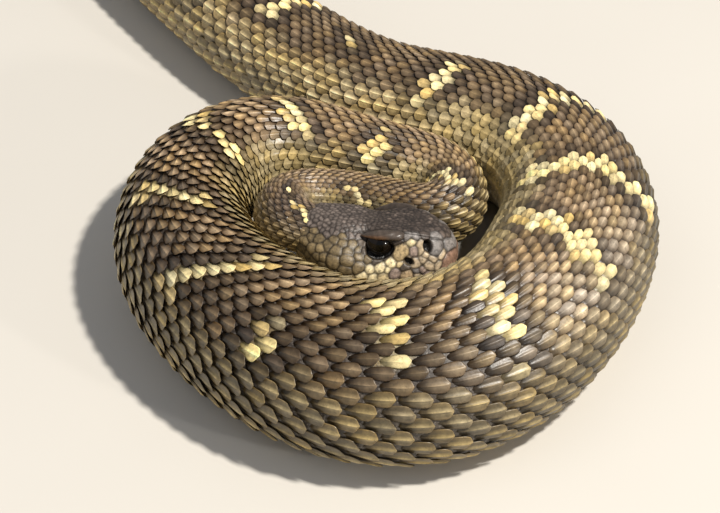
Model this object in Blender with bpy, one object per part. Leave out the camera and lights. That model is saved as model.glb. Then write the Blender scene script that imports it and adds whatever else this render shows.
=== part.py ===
"""Northern pacific rattlesnake at life size, a still figure coiled on the floor.

The animal faces +X and a little towards -Y from the middle of its coil. The body runs from the neck
through a small hairpin, once round an inner ring and once round an outer loop, and leaves behind it
for the tail. Every length is a tube of oval sections along one smooth middle line, and the head is a
loft of named outlines in a frame of its own. Sizes are in millimetres until the meshes are made.
"""

import math

import bmesh
import bpy
import numpy as np

NAME = "northern_pacific_rattlesnake"
MM = 0.001

# Where the coil's own zero falls, measured from the middle of the part's outline on the floor.
COIL_X = -8.60
COIL_Y = -57.27

# Gap that two meeting sub-parts keep, and how far apart the sections stand.
SEAM = 0.30
SIDES = 24
STEP_TIGHT = 2.3
STEP_WIDE = 5.4
TIGHT_END = 84.0

# Middle line from the head to the tail: x, y, z, half width, half height of the body there.
NECK_BEND = (
    (-4.2, -18.4, 20.9, 6.0, 5.4),
    (-8.6, -17.3, 20.8, 5.7, 5.3),
    (-12.5, -14.6, 20.5, 5.5, 5.4),
    (-14.3, -10.2, 18.4, 5.6, 7.1),
    (-13.1, -5.2, 17.2, 5.7, 6.9),
)
BEHIND_HEAD = (
    (-7.8, -2.2, 16.4, 5.4, 6.2),
    (-0.5, -2.6, 15.8, 5.5, 6.3),
    (7.0, -5.3, 15.8, 5.7, 6.6),
)
HAIRPIN = (
    (13.0, -7.0, 16.0, 6.0, 7.0),
    (17.3, -4.2, 15.6, 6.1, 7.5),
    (18.4, 1.0, 15.0, 6.2, 7.9),
    (15.3, 6.0, 14.6, 6.7, 8.2),
    (8.4, 9.4, 14.4, 7.5, 8.5),
)
INNER_RING = (
    (-0.6, 12.7, 14.2, 8.3, 8.9),
    (-9.7, 16.8, 13.5, 9.2, 9.2),
    (-19.0, 17.6, 12.8, 10.3, 9.8),
    (-27.6, 12.5, 12.2, 11.4, 10.9),
    (-33.0, -0.3, 12.1, 12.5, 12.3),
    (-32.1, -16.1, 13.0, 13.7, 13.4),
    (-24.9, -30.8, 13.9, 15.1, 14.3),
    (-14.7, -42.2, 14.8, 16.3, 15.2),
    (-3.3, -49.6, 15.4, 17.2, 15.9),
)
OUTER_LOOP = (
    (9.1, -51.4, 15.8, 17.6, 16.3),
    (20.6, -46.9, 15.8, 17.3, 16.3),
    (31.2, -35.9, 15.4, 16.5, 15.9),
    (38.3, -20.4, 14.6, 16.2, 15.1),
    (41.4, -3.8, 13.8, 15.0, 14.3),
    (37.4, 11.2, 13.3, 13.7, 13.7),
    (28.0, 21.6, 12.8, 12.7, 13.2),
    (16.2, 28.4, 12.1, 12.2, 12.5),
    (3.9, 34.6, 11.4, 12.2, 11.8),
)
HIND_BODY = (
    (-7.9, 43.8, 11.0, 12.2, 11.4),
    (-19.0, 55.6, 10.7, 12.0, 11.1),
    (-29.3, 69.4, 10.5, 11.8, 10.9),
    (-43.0, 91.0, 10.3, 11.6, 10.7),
    (-53.0, 115.0, 10.1, 11.3, 10.5),
    (-54.0, 141.0, 9.7, 10.8, 10.1),
    (-42.0, 163.0, 9.2, 10.2, 9.6),
    (-19.0, 174.0, 8.6, 9.5, 8.9),
    (5.0, 169.0, 7.7, 8.5, 8.0),
)
TAIL = (
    (25.0, 156.0, 6.4, 7.0, 6.6),
    (43.0, 143.0, 5.4, 5.4, 5.2),
    (63.0, 136.0, 5.8, 3.9, 4.2),
)
WAY = NECK_BEND + BEHIND_HEAD + HAIRPIN + INNER_RING + OUTER_LOOP + HIND_BODY + TAIL

# Named lengths of the body and the distance from the head's joint at which each ends.
LENGTHS = (
    ("neck", 17.0),
    ("fore_body_behind_head", 38.0),
    ("fore_body_hairpin", 65.0),
    ("inner_ring_back", 92.0),
    ("inner_ring_back_left", 115.0),
    ("inner_ring_left", 140.0),
    ("inner_ring_front_left", 164.0),
    ("inner_ring_front", 188.0),
    ("outer_loop_front", 212.0),
    ("outer_loop_front_right", 236.0),
    ("outer_loop_right", 260.0),
    ("outer_loop_back_right", 286.0),
    ("outer_loop_back", 318.0),
    ("hind_body_leaving_coil", 352.0),
    ("hind_body_left", 390.0),
    ("hind_body_turn", 426.0),
    ("hind_body_back", 464.0),
    ("hind_body_right", 502.0),
    ("hind_body_vent", 534.0),
    ("tail", 0.0),
)

# Head: its frame starts at the neck's joint, runs forward along x, left along y and up along z.
HEAD_YAW = math.radians(-13.8)
HEAD_ROLL = math.radians(13.0)
NECK_UNROLLS = 14.0
HEAD_AT = (0.0, 2.0, 5.0, 8.0, 11.0, 14.0, 17.0, 20.0, 23.0, 25.0, 26.2, 26.9, 27.2)
CROWN = (5.1, 5.0, 5.0, 5.0, 4.9, 5.2, 5.4, 5.4, 5.0, 4.3, 3.2, 2.2, 1.4)
CANTHUS_WIDE = (3.9, 4.8, 5.7, 5.5, 4.9, 5.5, 5.6, 5.2, 3.9, 2.8, 1.9, 1.2, 0.7)
CANTHUS_HIGH = (3.2, 3.2, 3.5, 3.7, 3.45, 4.4, 4.95, 5.0, 4.3, 3.6, 2.5, 1.6, 1.0)
FACE_WIDE = (5.7, 7.5, 9.2, 9.5, 8.9, 7.7, 7.1, 6.4, 5.5, 4.7, 3.8, 2.7, 1.5)
CHEEK_WIDE = (5.6, 7.8, 9.8, 10.3, 10.1, 9.2, 8.2, 7.3, 6.2, 5.2, 4.2, 3.0, 1.7)
LIP_WIDE = (4.8, 6.8, 8.7, 9.4, 9.4, 8.9, 8.0, 7.0, 5.9, 4.9, 3.9, 2.7, 1.4)
MOUTH_HIGH = (-3.5, -3.8, -4.3, -4.6, -4.7, -4.7, -4.4, -3.7, -2.9, -2.5, -2.3, -2.2, -2.1)
CHIN_DEEP = (5.4, 6.1, 6.9, 7.5, 7.7, 7.5, 7.0, 6.1, 5.0, 4.2, 3.6, 3.1, 2.7)
SNOUT = 27.4
MOUTH_CORNER = 5.0

# Eyes, brow plates, nostrils and heat pits, in the head's frame, given for the left side.
EYE_AT = (13.7, 4.9, 2.3)
EYE_RADIUS = 2.6
ORBIT_DEEP = 0.9
BROW_AT = (14.2, 6.2, 4.35)
BROW_SIZE = (4.2, 1.45, 0.62)
NOSTRIL_AT = (22.9, 5.6, 3.3)
NOSTRIL_SIZE = (0.45, 0.8, 0.75)
PIT_AT = (19.9, 7.0, 0.3)
PIT_SIZE = (0.75, 1.1, 0.7)

# Rattle: horn segments flattened from side to side, each a lobe with a waist before the next.
SEGMENTS = 8
SEGMENT_LONG = 2.55
RATTLE_HIGH = 4.0
RATTLE_WIDE = 2.3
RATTLE_RISE = 0.06

COLOURS = {
    "crown": (0.13, 0.11, 0.09),
    "throat": (0.42, 0.36, 0.26),
    "eye": (0.03, 0.025, 0.02),
    "body": (0.22, 0.19, 0.12),
    "tail": (0.12, 0.10, 0.08),
    "horn": (0.45, 0.36, 0.22),
}


def spline(at, rows):
    """Second derivatives of the natural cubic through rows at the parameters at."""
    gaps = np.diff(at)
    size = len(at)
    left = np.zeros((size, size))
    right = np.zeros(rows.shape)
    left[0, 0] = left[-1, -1] = 1.0
    for i in range(1, size - 1):
        left[i, i - 1] = gaps[i - 1]
        left[i, i] = 2.0 * (gaps[i - 1] + gaps[i])
        left[i, i + 1] = gaps[i]
        slope_after = (rows[i + 1] - rows[i]) / gaps[i]
        slope_before = (rows[i] - rows[i - 1]) / gaps[i - 1]
        right[i] = 6.0 * (slope_after - slope_before)
    return np.linalg.solve(left, right)


def read_spline(at, rows, bend, u):
    """Rows of the natural cubic at the parameters u."""
    k = np.clip(np.searchsorted(at, u, side="right") - 1, 0, len(at) - 2)
    gap = at[k + 1] - at[k]
    a = ((at[k + 1] - u) / gap)[:, None]
    b = ((u - at[k]) / gap)[:, None]
    curve = (a ** 3 - a) * bend[k] + (b ** 3 - b) * bend[k + 1]
    return a * rows[k] + b * rows[k + 1] + curve * (gap[:, None] ** 2) / 6.0


def unit(v):
    return v / np.linalg.norm(v, axis=-1, keepdims=True)


class MiddleLine:
    """The body's middle line by distance from the head's joint."""

    def __init__(self):
        rows = np.array(WAY)
        chords = np.linalg.norm(np.diff(rows[:, :3], axis=0), axis=1)
        at = np.concatenate([[0.0], np.cumsum(chords ** 0.5)])
        bend = spline(at, rows)
        u = np.linspace(at[1], at[-1], 6001)
        self.rows = read_spline(at, rows, bend, u)
        steps = np.linalg.norm(np.diff(self.rows[:, :3], axis=0), axis=1)
        self.along = np.concatenate([[0.0], np.cumsum(steps)])
        self.ahead = unit(np.gradient(self.rows[:, :3], axis=0))
        self.long = float(self.along[-1])

    def read(self, s, table):
        return np.array([np.interp(s, self.along, column) for column in table.T])

    def frame(self, s):
        """Middle, direction to the tail, left side and up at the distance s."""
        row = self.read(s, self.rows)
        ahead = unit(self.read(s, self.ahead))
        left = unit(np.cross(ahead, (0.0, 0.0, 1.0)))
        up = np.cross(left, ahead)
        part = min(1.0, s / NECK_UNROLLS)
        roll = HEAD_ROLL * (1.0 - part * part * (3.0 - 2.0 * part))
        rolled_left = left * math.cos(roll) - up * math.sin(roll)
        rolled_up = up * math.cos(roll) + left * math.sin(roll)
        return row[:3], ahead, rolled_left, rolled_up, row[3], row[4]

    def ring(self, s, shift=0.0):
        """Oval section at s, moved along the body by shift, flat where it meets the floor."""
        middle, ahead, left, up, wide, high = self.frame(s)
        turn = (np.arange(SIDES) + 0.5) * (2.0 * math.pi / SIDES) + math.pi / 2.0
        points = (middle + ahead * shift
                  + np.outer(np.cos(turn) * wide, left)
                  + np.outer(np.sin(turn) * high, up))
        points[:, 2] = np.maximum(points[:, 2], 0.0)
        return points


LINE = MiddleLine()


class HeadFrame:
    """The head's own frame and outlines."""

    def __init__(self):
        middle, ahead, left, up, wide, high = LINE.frame(0.0)
        self.start = middle
        self.back = -ahead
        self.forward = np.array([math.cos(HEAD_YAW), math.sin(HEAD_YAW), 0.0])
        level = np.cross((0.0, 0.0, 1.0), self.forward)
        sky = np.array([0.0, 0.0, 1.0])
        self.left = level * math.cos(HEAD_ROLL) - sky * math.sin(HEAD_ROLL)
        self.up = sky * math.cos(HEAD_ROLL) + level * math.sin(HEAD_ROLL)
        self.at = np.array(HEAD_AT)
        self.rows = np.array([CROWN, CANTHUS_WIDE, CANTHUS_HIGH, FACE_WIDE, CHEEK_WIDE,
                              LIP_WIDE, MOUTH_HIGH, CHIN_DEEP]).T
        self.bend = spline(self.at, self.rows)

    def place(self, points):
        """Points of the head's frame put into the coil's."""
        p = np.atleast_2d(np.asarray(points, float))
        moved = (self.start + np.outer(p[:, 0], self.forward)
                 + np.outer(p[:, 1], self.left) + np.outer(p[:, 2], self.up))
        near = np.clip(1.0 - p[:, 0] / 5.0, 0.0, 1.0)[:, None] ** 2
        turn = self.back - self.forward
        lean = p[:, 1:2] * (turn @ self.left) + p[:, 2:3] * (turn @ self.up)
        return moved - self.forward * (near * lean)

    def outline(self, x):
        """Half outline of the section at x: crown, canthus, face, cheek, lip, jaw edge, chin."""
        crown, canthus, high, face, cheek, lip, mouth, chin = read_spline(
            self.at, self.rows, self.bend, np.array([x]))[0]
        return np.array([
            (0.0, crown),
            (0.58 * canthus, crown - 0.10 * (crown - high)),
            (canthus, high),
            (face, high + 0.36 * (mouth - high)),
            (cheek, high + 0.70 * (mouth - high)),
            (lip, mouth),
            (0.78 * lip, -chin + 0.26 * (chin + mouth)),
            (0.0, -chin),
        ])

    def half(self, x, v):
        """Points of the half outline at the places v, 0 at the crown, 5 at the lip, 7 at the chin."""
        keys = self.outline(x)
        ghost = np.array([-1.0, 1.0])
        keys = np.vstack([keys[1] * ghost, keys, keys[-2] * ghost])
        k = np.clip(np.floor(v).astype(int), 0, 6)
        t = (v - k)[:, None]
        p0, p1, p2, p3 = keys[k], keys[k + 1], keys[k + 2], keys[k + 3]
        pull = (2.0 * p1 + (p2 - p0) * t + (2.0 * p0 - 5.0 * p1 + 4.0 * p2 - p3) * t ** 2
                + (3.0 * p1 - p0 - 3.0 * p2 + p3) * t ** 3)
        y, z = 0.5 * pull[:, 0], 0.5 * pull[:, 1]
        dent = np.exp(-((x - EYE_AT[0]) / 3.0) ** 2 - ((z - EYE_AT[2]) / 2.1) ** 2)
        return np.stack([y - ORBIT_DEEP * dent * np.clip(y / 5.0, 0.0, 1.0), z], axis=1)


HEAD = HeadFrame()
UPPER = np.array([0.0, 0.55, 1.1, 1.65, 2.1, 2.75, 3.4, 4.2, 5.0])
LOWER = np.array([5.0, 5.5, 6.0, 6.5, 7.0])


def material(node, kind):
    made = bpy.data.materials.new(node + "_finish")
    made.use_nodes = True
    shader = made.node_tree.nodes["Principled BSDF"]
    shader.inputs["Base Color"].default_value = (*COLOURS[kind], 1.0)
    shader.inputs["Roughness"].default_value = 0.15 if kind == "eye" else 0.6
    return made


def add_object(node, points, faces, kind, home):
    """One closed mesh, in metres from the part's origin."""
    at = (np.asarray(points) + np.array([COIL_X, COIL_Y, 0.0])) * MM
    mesh = bpy.data.meshes.new(node)
    mesh.from_pydata(at.tolist(), [], faces)
    mesh.validate()
    made = bpy.data.objects.new(node, mesh)
    home.objects.link(made)
    work = bmesh.new()
    work.from_mesh(mesh)
    bmesh.ops.recalc_face_normals(work, faces=work.faces)
    work.to_mesh(mesh)
    work.free()
    if kind:
        mesh.materials.append(material(node, kind))
    return made


def loft(rings, tip=None):
    """Points and faces of a closed skin over rings of one count, with flat or pointed ends."""
    count = len(rings[0])
    points = np.vstack(rings)
    faces = []
    for i in range(len(rings) - 1):
        for j in range(count):
            k = (j + 1) % count
            a, b = i * count, (i + 1) * count
            faces.append((a + j, b + j, b + k, a + k))
    faces.append(tuple(range(count)))
    last = (len(rings) - 1) * count
    if tip is None:
        faces.append(tuple(last + j for j in reversed(range(count))))
    else:
        points = np.vstack([points, tip])
        for j in range(count):
            faces.append((last + j, len(points) - 1, last + (j + 1) % count))
    return points, faces


def body_length(node, start, end, kind, home):
    """A named length of the body between two parallel seams."""
    reach = end - start
    step = STEP_TIGHT if start < TIGHT_END else STEP_WIDE
    inner = max(2, round(reach / step))
    rings = [LINE.ring(start, SEAM / 2.0)]
    for i in range(1, inner):
        rings.append(LINE.ring(start + reach * i / inner))
    rings.append(LINE.ring(end, -SEAM / 2.0))
    return add_object(node, *loft(rings), kind, home)


def head_ring(x, part):
    """Section of the head at x: the whole, the part over the mouth or the part under it."""
    upper = HEAD.half(x, UPPER)
    lower = HEAD.half(x, LOWER)
    mirror = np.array([-1.0, 1.0])
    if part == "whole":
        side = np.vstack([upper, lower[1:]])
        flat = np.vstack([side, (side[1:-1] * mirror)[::-1]])
    elif part == "over":
        roof = np.linspace(upper[-1], upper[-1] * mirror, 9)[1:-1]
        flat = np.vstack([upper, roof, (upper[1:] * mirror)[::-1]])
    else:
        drop = np.array([0.0, SEAM])
        low = lower - drop * np.array([[1.0], [0.6], [0.2], [0.0], [0.0]])
        under = np.vstack([low, (low[:-1] * mirror)[::-1]])
        floor_of_mouth = np.linspace(under[-1], under[0], 9)[1:-1]
        flat = np.vstack([under, floor_of_mouth])
    local = np.column_stack([np.full(len(flat), x), flat])
    return HEAD.place(local)


def ellipsoid(node, at, size, side, home, around=14, rows=9, tilt=0.0):
    """Closed ellipsoid in the head's frame, on the left for side 1 and on the right for -1."""
    rings = []
    for i in range(1, rows):
        polar = math.pi * i / rows
        turn = np.arange(around) * 2.0 * math.pi / around
        y = np.cos(polar) * np.ones(around) * size[1]
        x = np.sin(polar) * np.cos(turn) * size[0]
        z = np.sin(polar) * np.sin(turn) * size[2]
        y, z = y * math.cos(tilt) + z * math.sin(tilt), z * math.cos(tilt) - y * math.sin(tilt)
        rings.append(np.column_stack([x + at[0], side * (y + at[1]), z + at[2]]))
    pole = np.array([size[1] * math.cos(tilt), -size[1] * math.sin(tilt)])
    first = (at[0], side * (at[1] + pole[0]), at[2] + pole[1])
    last = (at[0], side * (at[1] - pole[0]), at[2] - pole[1])
    points = HEAD.place(np.vstack(rings + [first, last]))
    faces = []
    for i in range(rows - 2):
        for j in range(around):
            k = (j + 1) % around
            faces.append((i * around + j, (i + 1) * around + j, (i + 1) * around + k, i * around + k))
    top, bottom = len(points) - 2, len(points) - 1
    base = (rows - 2) * around
    for j in range(around):
        k = (j + 1) % around
        faces.append((top, j, k))
        faces.append((bottom, base + k, base + j))
    return points, faces, node, home


def cut_or_join(target, tool, how):
    """Applies one boolean of tool to target and removes tool."""
    change = target.modifiers.new(how.lower(), "BOOLEAN")
    change.operation = how
    change.solver = "EXACT"
    change.object = tool
    graph = bpy.context.evaluated_depsgraph_get()
    result = bpy.data.meshes.new_from_object(target.evaluated_get(graph))
    target.modifiers.clear()
    old = target.data
    target.data = result
    bpy.data.meshes.remove(old)
    bpy.data.objects.remove(tool, do_unlink=True)


def keep_largest(target):
    """Leaves only the largest closed surface of a mesh."""
    work = bmesh.new()
    work.from_mesh(target.data)
    seen = set()
    groups = []
    for first in work.faces:
        if first in seen:
            continue
        group, queue = [], [first]
        seen.add(first)
        while queue:
            face = queue.pop()
            group.append(face)
            for edge in face.edges:
                for other in edge.link_faces:
                    if other not in seen:
                        seen.add(other)
                        queue.append(other)
        groups.append(group)
    groups.sort(key=lambda g: sum(f.calc_area() for f in g), reverse=True)
    for group in groups[1:]:
        bmesh.ops.delete(work, geom=group, context="FACES")
    loose = [v for v in work.verts if not v.link_faces]
    bmesh.ops.delete(work, geom=loose, context="VERTS")
    work.to_mesh(target.data)
    work.free()


def make_head(home, guides):
    """Head with brow plates, eye sockets, nostrils and heat pits, and the lower jaw."""
    rings = [head_ring(x, "whole") for x in (0.0, 1.0, 2.2, 3.6, MOUTH_CORNER)]
    ahead = (5.3, 6.8, 8.3, 9.7, 11.0, 12.2, 13.4, 14.6, 15.8, 17.2, 18.7, 20.3, 21.9, 23.3,
             24.5, 25.4, 26.1, 26.7, 27.1)
    rings += [head_ring(x, "over") for x in ahead]
    tip = HEAD.place((SNOUT, 0.0, 0.0))
    head = add_object("head", *loft(rings, tip), "crown", home)
    below = (5.65, 7.2, 9.0, 11.0, 13.2, 15.6, 18.0, 20.2, 22.2, 24.0, 25.2, 26.0, 26.6)
    jaw_rings = [head_ring(x, "under") for x in below]
    add_object("lower_jaw", *loft(jaw_rings), "throat", home)
    for side, label in ((1, "left"), (-1, "right")):
        for at, size, how, tilt in (
            (BROW_AT, BROW_SIZE, "UNION", 0.22),
            (EYE_AT, [EYE_RADIUS + SEAM] * 3, "DIFFERENCE", 0.0),
            (NOSTRIL_AT, NOSTRIL_SIZE, "DIFFERENCE", 0.0),
            (PIT_AT, PIT_SIZE, "DIFFERENCE", 0.0),
        ):
            points, faces, name, place = ellipsoid("tool", at, size, side, guides, 12, 7, tilt)
            tool = add_object(name, points, faces, None, place)
            cut_or_join(head, tool, how)
        points, faces, name, place = ellipsoid("eye_" + label, EYE_AT, [EYE_RADIUS] * 3, side, home)
        add_object(name, points, faces, "eye", place)
    keep_largest(head)


def make_rattle(home):
    """Rattle: lobes with a groove along each side, one closed horn body."""
    end = LINE.long
    middle, ahead, left, up, wide, high = LINE.frame(end)
    ahead = unit(ahead + up * RATTLE_RISE)
    up = np.cross(left, ahead)
    turn = np.arange(16) * (2.0 * math.pi / 16) + math.pi / 2.0
    rings = []
    for k in range(SEGMENTS):
        shrink = 1.0 - 0.045 * k
        for part, fill in ((0.0, 0.74), (0.22, 0.98), (0.55, 1.0), (0.88, 0.84)):
            along = SEAM / 2.0 + (k + part) * SEGMENT_LONG
            groove = 1.0 - 0.22 * np.abs(np.cos(turn)) ** 6
            y = np.cos(turn) * RATTLE_WIDE * shrink * fill * groove
            z = np.sin(turn) * RATTLE_HIGH * shrink * fill
            centre = middle + ahead * along
            rings.append(centre + np.outer(y, left) + np.outer(z, up))
    tip = middle + ahead * (SEGMENTS * SEGMENT_LONG + 0.5)
    add_object("rattle", *loft(rings, tip), "horn", home)


def main():
    for old in list(bpy.data.objects):
        bpy.data.objects.remove(old, do_unlink=True)
    home = bpy.data.collections.new(NAME)
    guides = bpy.data.collections.new(NAME + "_guides")
    bpy.context.scene.collection.children.link(home)
    bpy.context.scene.collection.children.link(guides)
    guides.hide_render = True
    make_head(home, guides)
    start = 0.0
    for node, end in LENGTHS:
        kind = "tail" if node == "tail" else "body"
        body_length(node, start, end or LINE.long, kind, home)
        start = end
    make_rattle(home)
    corners = np.array([v.co for o in home.objects for v in o.data.vertices]) / MM
    low, high = corners.min(axis=0), corners.max(axis=0)
    print("outline", low.round(2), high.round(2), "middle", ((low + high) / 2).round(3))
    print("long", round(LINE.long, 1), "triangles",
          sum(len(p.vertices) - 2 for o in home.objects for p in o.data.polygons))


main()
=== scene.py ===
"""Looks of the northern pacific rattlesnake: skin, scales, head plates, eyes and rattle round the frame.

The solids' own middle line and head outlines are worked out again here in millimetres, and every
surface is a function of two parameters on them: the distance s from the head's joint and the angle
round the body, or the distance x along the head and the place v down its side.
"""

import logging
import math
from dataclasses import dataclass, field
from enum import Enum, IntEnum

import bpy
import numpy as np
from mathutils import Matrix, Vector


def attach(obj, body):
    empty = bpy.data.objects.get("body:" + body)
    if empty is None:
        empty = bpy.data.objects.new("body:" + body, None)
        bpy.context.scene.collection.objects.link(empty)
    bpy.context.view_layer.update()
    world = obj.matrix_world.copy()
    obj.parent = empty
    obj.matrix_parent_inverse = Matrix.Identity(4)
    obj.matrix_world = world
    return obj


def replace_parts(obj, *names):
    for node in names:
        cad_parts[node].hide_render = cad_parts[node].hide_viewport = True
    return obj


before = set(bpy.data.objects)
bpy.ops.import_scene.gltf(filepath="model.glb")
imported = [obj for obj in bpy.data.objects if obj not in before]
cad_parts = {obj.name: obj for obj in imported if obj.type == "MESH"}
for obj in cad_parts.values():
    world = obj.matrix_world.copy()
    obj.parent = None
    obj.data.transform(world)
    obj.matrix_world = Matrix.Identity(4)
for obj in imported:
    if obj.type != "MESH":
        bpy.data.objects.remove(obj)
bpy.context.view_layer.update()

logging.basicConfig(level=logging.INFO, format="%(message)s")
log = logging.getLogger("rattlesnake")

MM = 0.001
BODY = "root"
Array = np.ndarray
Span = tuple[float, float]
Feed = bpy.types.NodeSocket | float | tuple[float, ...]

# Where the coil's own zero falls from the middle of the part's outline on the floor.
COIL_X = -8.60
COIL_Y = -57.27

# Middle line from the head to the tail, as in the solids: x, y, z, half width, half height there.
NECK_BEND = (
    (-4.2, -18.4, 20.9, 6.0, 5.4),
    (-8.6, -17.3, 20.8, 5.7, 5.3),
    (-12.5, -14.6, 20.5, 5.5, 5.4),
    (-14.3, -10.2, 18.4, 5.6, 7.1),
    (-13.1, -5.2, 17.2, 5.7, 6.9),
)
BEHIND_HEAD = (
    (-7.8, -2.2, 16.4, 5.4, 6.2),
    (-0.5, -2.6, 15.8, 5.5, 6.3),
    (7.0, -5.3, 15.8, 5.7, 6.6),
)
HAIRPIN = (
    (13.0, -7.0, 16.0, 6.0, 7.0),
    (17.3, -4.2, 15.6, 6.1, 7.5),
    (18.4, 1.0, 15.0, 6.2, 7.9),
    (15.3, 6.0, 14.6, 6.7, 8.2),
    (8.4, 9.4, 14.4, 7.5, 8.5),
)
INNER_RING = (
    (-0.6, 12.7, 14.2, 8.3, 8.9),
    (-9.7, 16.8, 13.5, 9.2, 9.2),
    (-19.0, 17.6, 12.8, 10.3, 9.8),
    (-27.6, 12.5, 12.2, 11.4, 10.9),
    (-33.0, -0.3, 12.1, 12.5, 12.3),
    (-32.1, -16.1, 13.0, 13.7, 13.4),
    (-24.9, -30.8, 13.9, 15.1, 14.3),
    (-14.7, -42.2, 14.8, 16.3, 15.2),
    (-3.3, -49.6, 15.4, 17.2, 15.9),
)
OUTER_LOOP = (
    (9.1, -51.4, 15.8, 17.6, 16.3),
    (20.6, -46.9, 15.8, 17.3, 16.3),
    (31.2, -35.9, 15.4, 16.5, 15.9),
    (38.3, -20.4, 14.6, 16.2, 15.1),
    (41.4, -3.8, 13.8, 15.0, 14.3),
    (37.4, 11.2, 13.3, 13.7, 13.7),
    (28.0, 21.6, 12.8, 12.7, 13.2),
    (16.2, 28.4, 12.1, 12.2, 12.5),
    (3.9, 34.6, 11.4, 12.2, 11.8),
)
HIND_BODY = (
    (-7.9, 43.8, 11.0, 12.2, 11.4),
    (-19.0, 55.6, 10.7, 12.0, 11.1),
    (-29.3, 69.4, 10.5, 11.8, 10.9),
    (-43.0, 91.0, 10.3, 11.6, 10.7),
    (-53.0, 115.0, 10.1, 11.3, 10.5),
    (-54.0, 141.0, 9.7, 10.8, 10.1),
    (-42.0, 163.0, 9.2, 10.2, 9.6),
    (-19.0, 174.0, 8.6, 9.5, 8.9),
    (5.0, 169.0, 7.7, 8.5, 8.0),
)
TAIL = (
    (25.0, 156.0, 6.4, 7.0, 6.6),
    (43.0, 143.0, 5.4, 5.4, 5.2),
    (63.0, 136.0, 5.8, 3.9, 4.2),
)
WAY = NECK_BEND + BEHIND_HEAD + HAIRPIN + INNER_RING + OUTER_LOOP + HIND_BODY + TAIL
VENT = 534.0

# Head outlines, as in the solids, at the distances HEAD_AT ahead of the joint.
HEAD_YAW = math.radians(-13.8)
HEAD_ROLL = math.radians(13.0)
HEAD_LEANS = 5.0
NECK_UNROLLS = 14.0
HEAD_AT = (0.0, 2.0, 5.0, 8.0, 11.0, 14.0, 17.0, 20.0, 23.0, 25.0, 26.2, 26.9, 27.2)
CROWN = (5.1, 5.0, 5.0, 5.0, 4.9, 5.2, 5.4, 5.4, 5.0, 4.3, 3.2, 2.2, 1.4)
CANTHUS_WIDE = (3.9, 4.8, 5.7, 5.5, 4.9, 5.5, 5.6, 5.2, 3.9, 2.8, 1.9, 1.2, 0.7)
CANTHUS_HIGH = (3.2, 3.2, 3.5, 3.7, 3.45, 4.4, 4.95, 5.0, 4.3, 3.6, 2.5, 1.6, 1.0)
FACE_WIDE = (5.7, 7.5, 9.2, 9.5, 8.9, 7.7, 7.1, 6.4, 5.5, 4.7, 3.8, 2.7, 1.5)
CHEEK_WIDE = (5.6, 7.8, 9.8, 10.3, 10.1, 9.2, 8.2, 7.3, 6.2, 5.2, 4.2, 3.0, 1.7)
LIP_WIDE = (4.8, 6.8, 8.7, 9.4, 9.4, 8.9, 8.0, 7.0, 5.9, 4.9, 3.9, 2.7, 1.4)
MOUTH_HIGH = (-3.5, -3.8, -4.3, -4.6, -4.7, -4.7, -4.4, -3.7, -2.9, -2.5, -2.3, -2.2, -2.1)
CHIN_DEEP = (5.4, 6.1, 6.9, 7.5, 7.7, 7.5, 7.0, 6.1, 5.0, 4.2, 3.6, 3.1, 2.7)
SHOULDER_OUT, SHOULDER_DOWN = 0.58, 0.10
FACE_DOWN, CHEEK_DOWN = 0.36, 0.70
JAW_OUT, JAW_UP = 0.78, 0.26
SNOUT = 27.4
MOUTH_CORNER = 5.0
EYE_AT = (13.7, 4.9, 2.3)
EYE_RADIUS = 2.6
ORBIT_DEEP, ORBIT_LONG, ORBIT_HIGH, ORBIT_FROM = 0.9, 3.0, 2.1, 5.0
HOLLOW_AT = (14.05, 2.25)
HOLLOW_SIZE = (2.75, 2.08)

# The scales' bed: how far the skin lies inside the solids, and the lattice of the dorsal scales.
COAT = 0.60
ROWS_EACH_SIDE = 14
ROW_TURN = 7.2
ROW_GROWTH = 0.24
PITCH_MOST = 4.25
PITCH_MIDDLE = 4.0
GIRTH_SCALE = 17.5
GIRTH_POWER = 1.6
FINE_OPENS, FINE_CLOSES = (196.0, 238.0), (325.0, 355.0)
FINE_SHORTER = 0.17
FLOOR_GAP = 0.03

# Places beside the neck where pressed skin bunches: height, then middle and reach along and round the body.
BUNCHES = (
    (0.55, (9.0, 7.0), (195.0, 45.0)),
    (0.50, (141.0, 10.0), (158.0, 24.0)),
)

# Maps: the share that a piece's places fill, the edge round them and the room of a tube's pole.
MAP_SHARE = 0.96
MAP_EDGE = 0.02
MAP_POLE = 0.004

# A distance in millimetres past any border of a plate, and the height in metres that lamps face.
FAR = 9.0
AIM_HIGH = 0.01

# Pattern: outward roll of the back's middle at distances along the body.
ROLL_AT = (0.0, 60.0, 110.0, 150.0, 200.0, 225.0, 260.0, 300.0, 330.0)
ROLL_DEGREES = (0.0, 0.0, 6.0, 10.0, 20.0, 18.0, 12.0, 10.0, 9.0)

# Pale crossbars as lines of (degrees round the body from its left side, distance from the head's joint).
SEEN_BARS = (
    ((84, 6.7), (99, 3.2), (126, 0.4)),
    ((42, 31.0), (60, 28.0)),
    ((30, 43.0), (45, 41.5)),
    ((48, 49.0), (99, 48.0), (150, 53.0)),
    ((93, 71.0), (132, 72.0), (147, 73.0)),
    ((63, 93.0), (87, 90.0), (111, 88.0), (126, 86.0)),
    ((51, 107.0), (78, 108.0), (102, 110.0), (135, 111.0)),
    ((45, 129.0), (63, 130.0), (93, 135.0), (105, 136.0)),
    ((42, 152.0), (63, 156.0), (80, 160.0), (96, 163.0)),
    ((36, 173.0), (54, 176.0)),
    ((51, 193.0), (90, 191.0)),
    ((33, 208.0), (93, 209.0)),
    ((42, 229.0), (75, 231.0), (120, 235.0)),
    ((30, 252.0), (62, 253.0), (93, 255.5), (132, 252.0)),
    ((44, 272.0), (69, 277.0), (128, 275.0)),
    ((87, 298.0), (129, 301.0)),
    ((84, 322.0), (92, 320.0)),
    ((51, 337.0), (102, 341.0)),
)
BAR_EVERY = 19.0
FIRST_HIDDEN_BAR = 360.0
FIRST_TAIL_RING = 530.0
TAIL_RING_EVERY = 8.5


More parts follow.
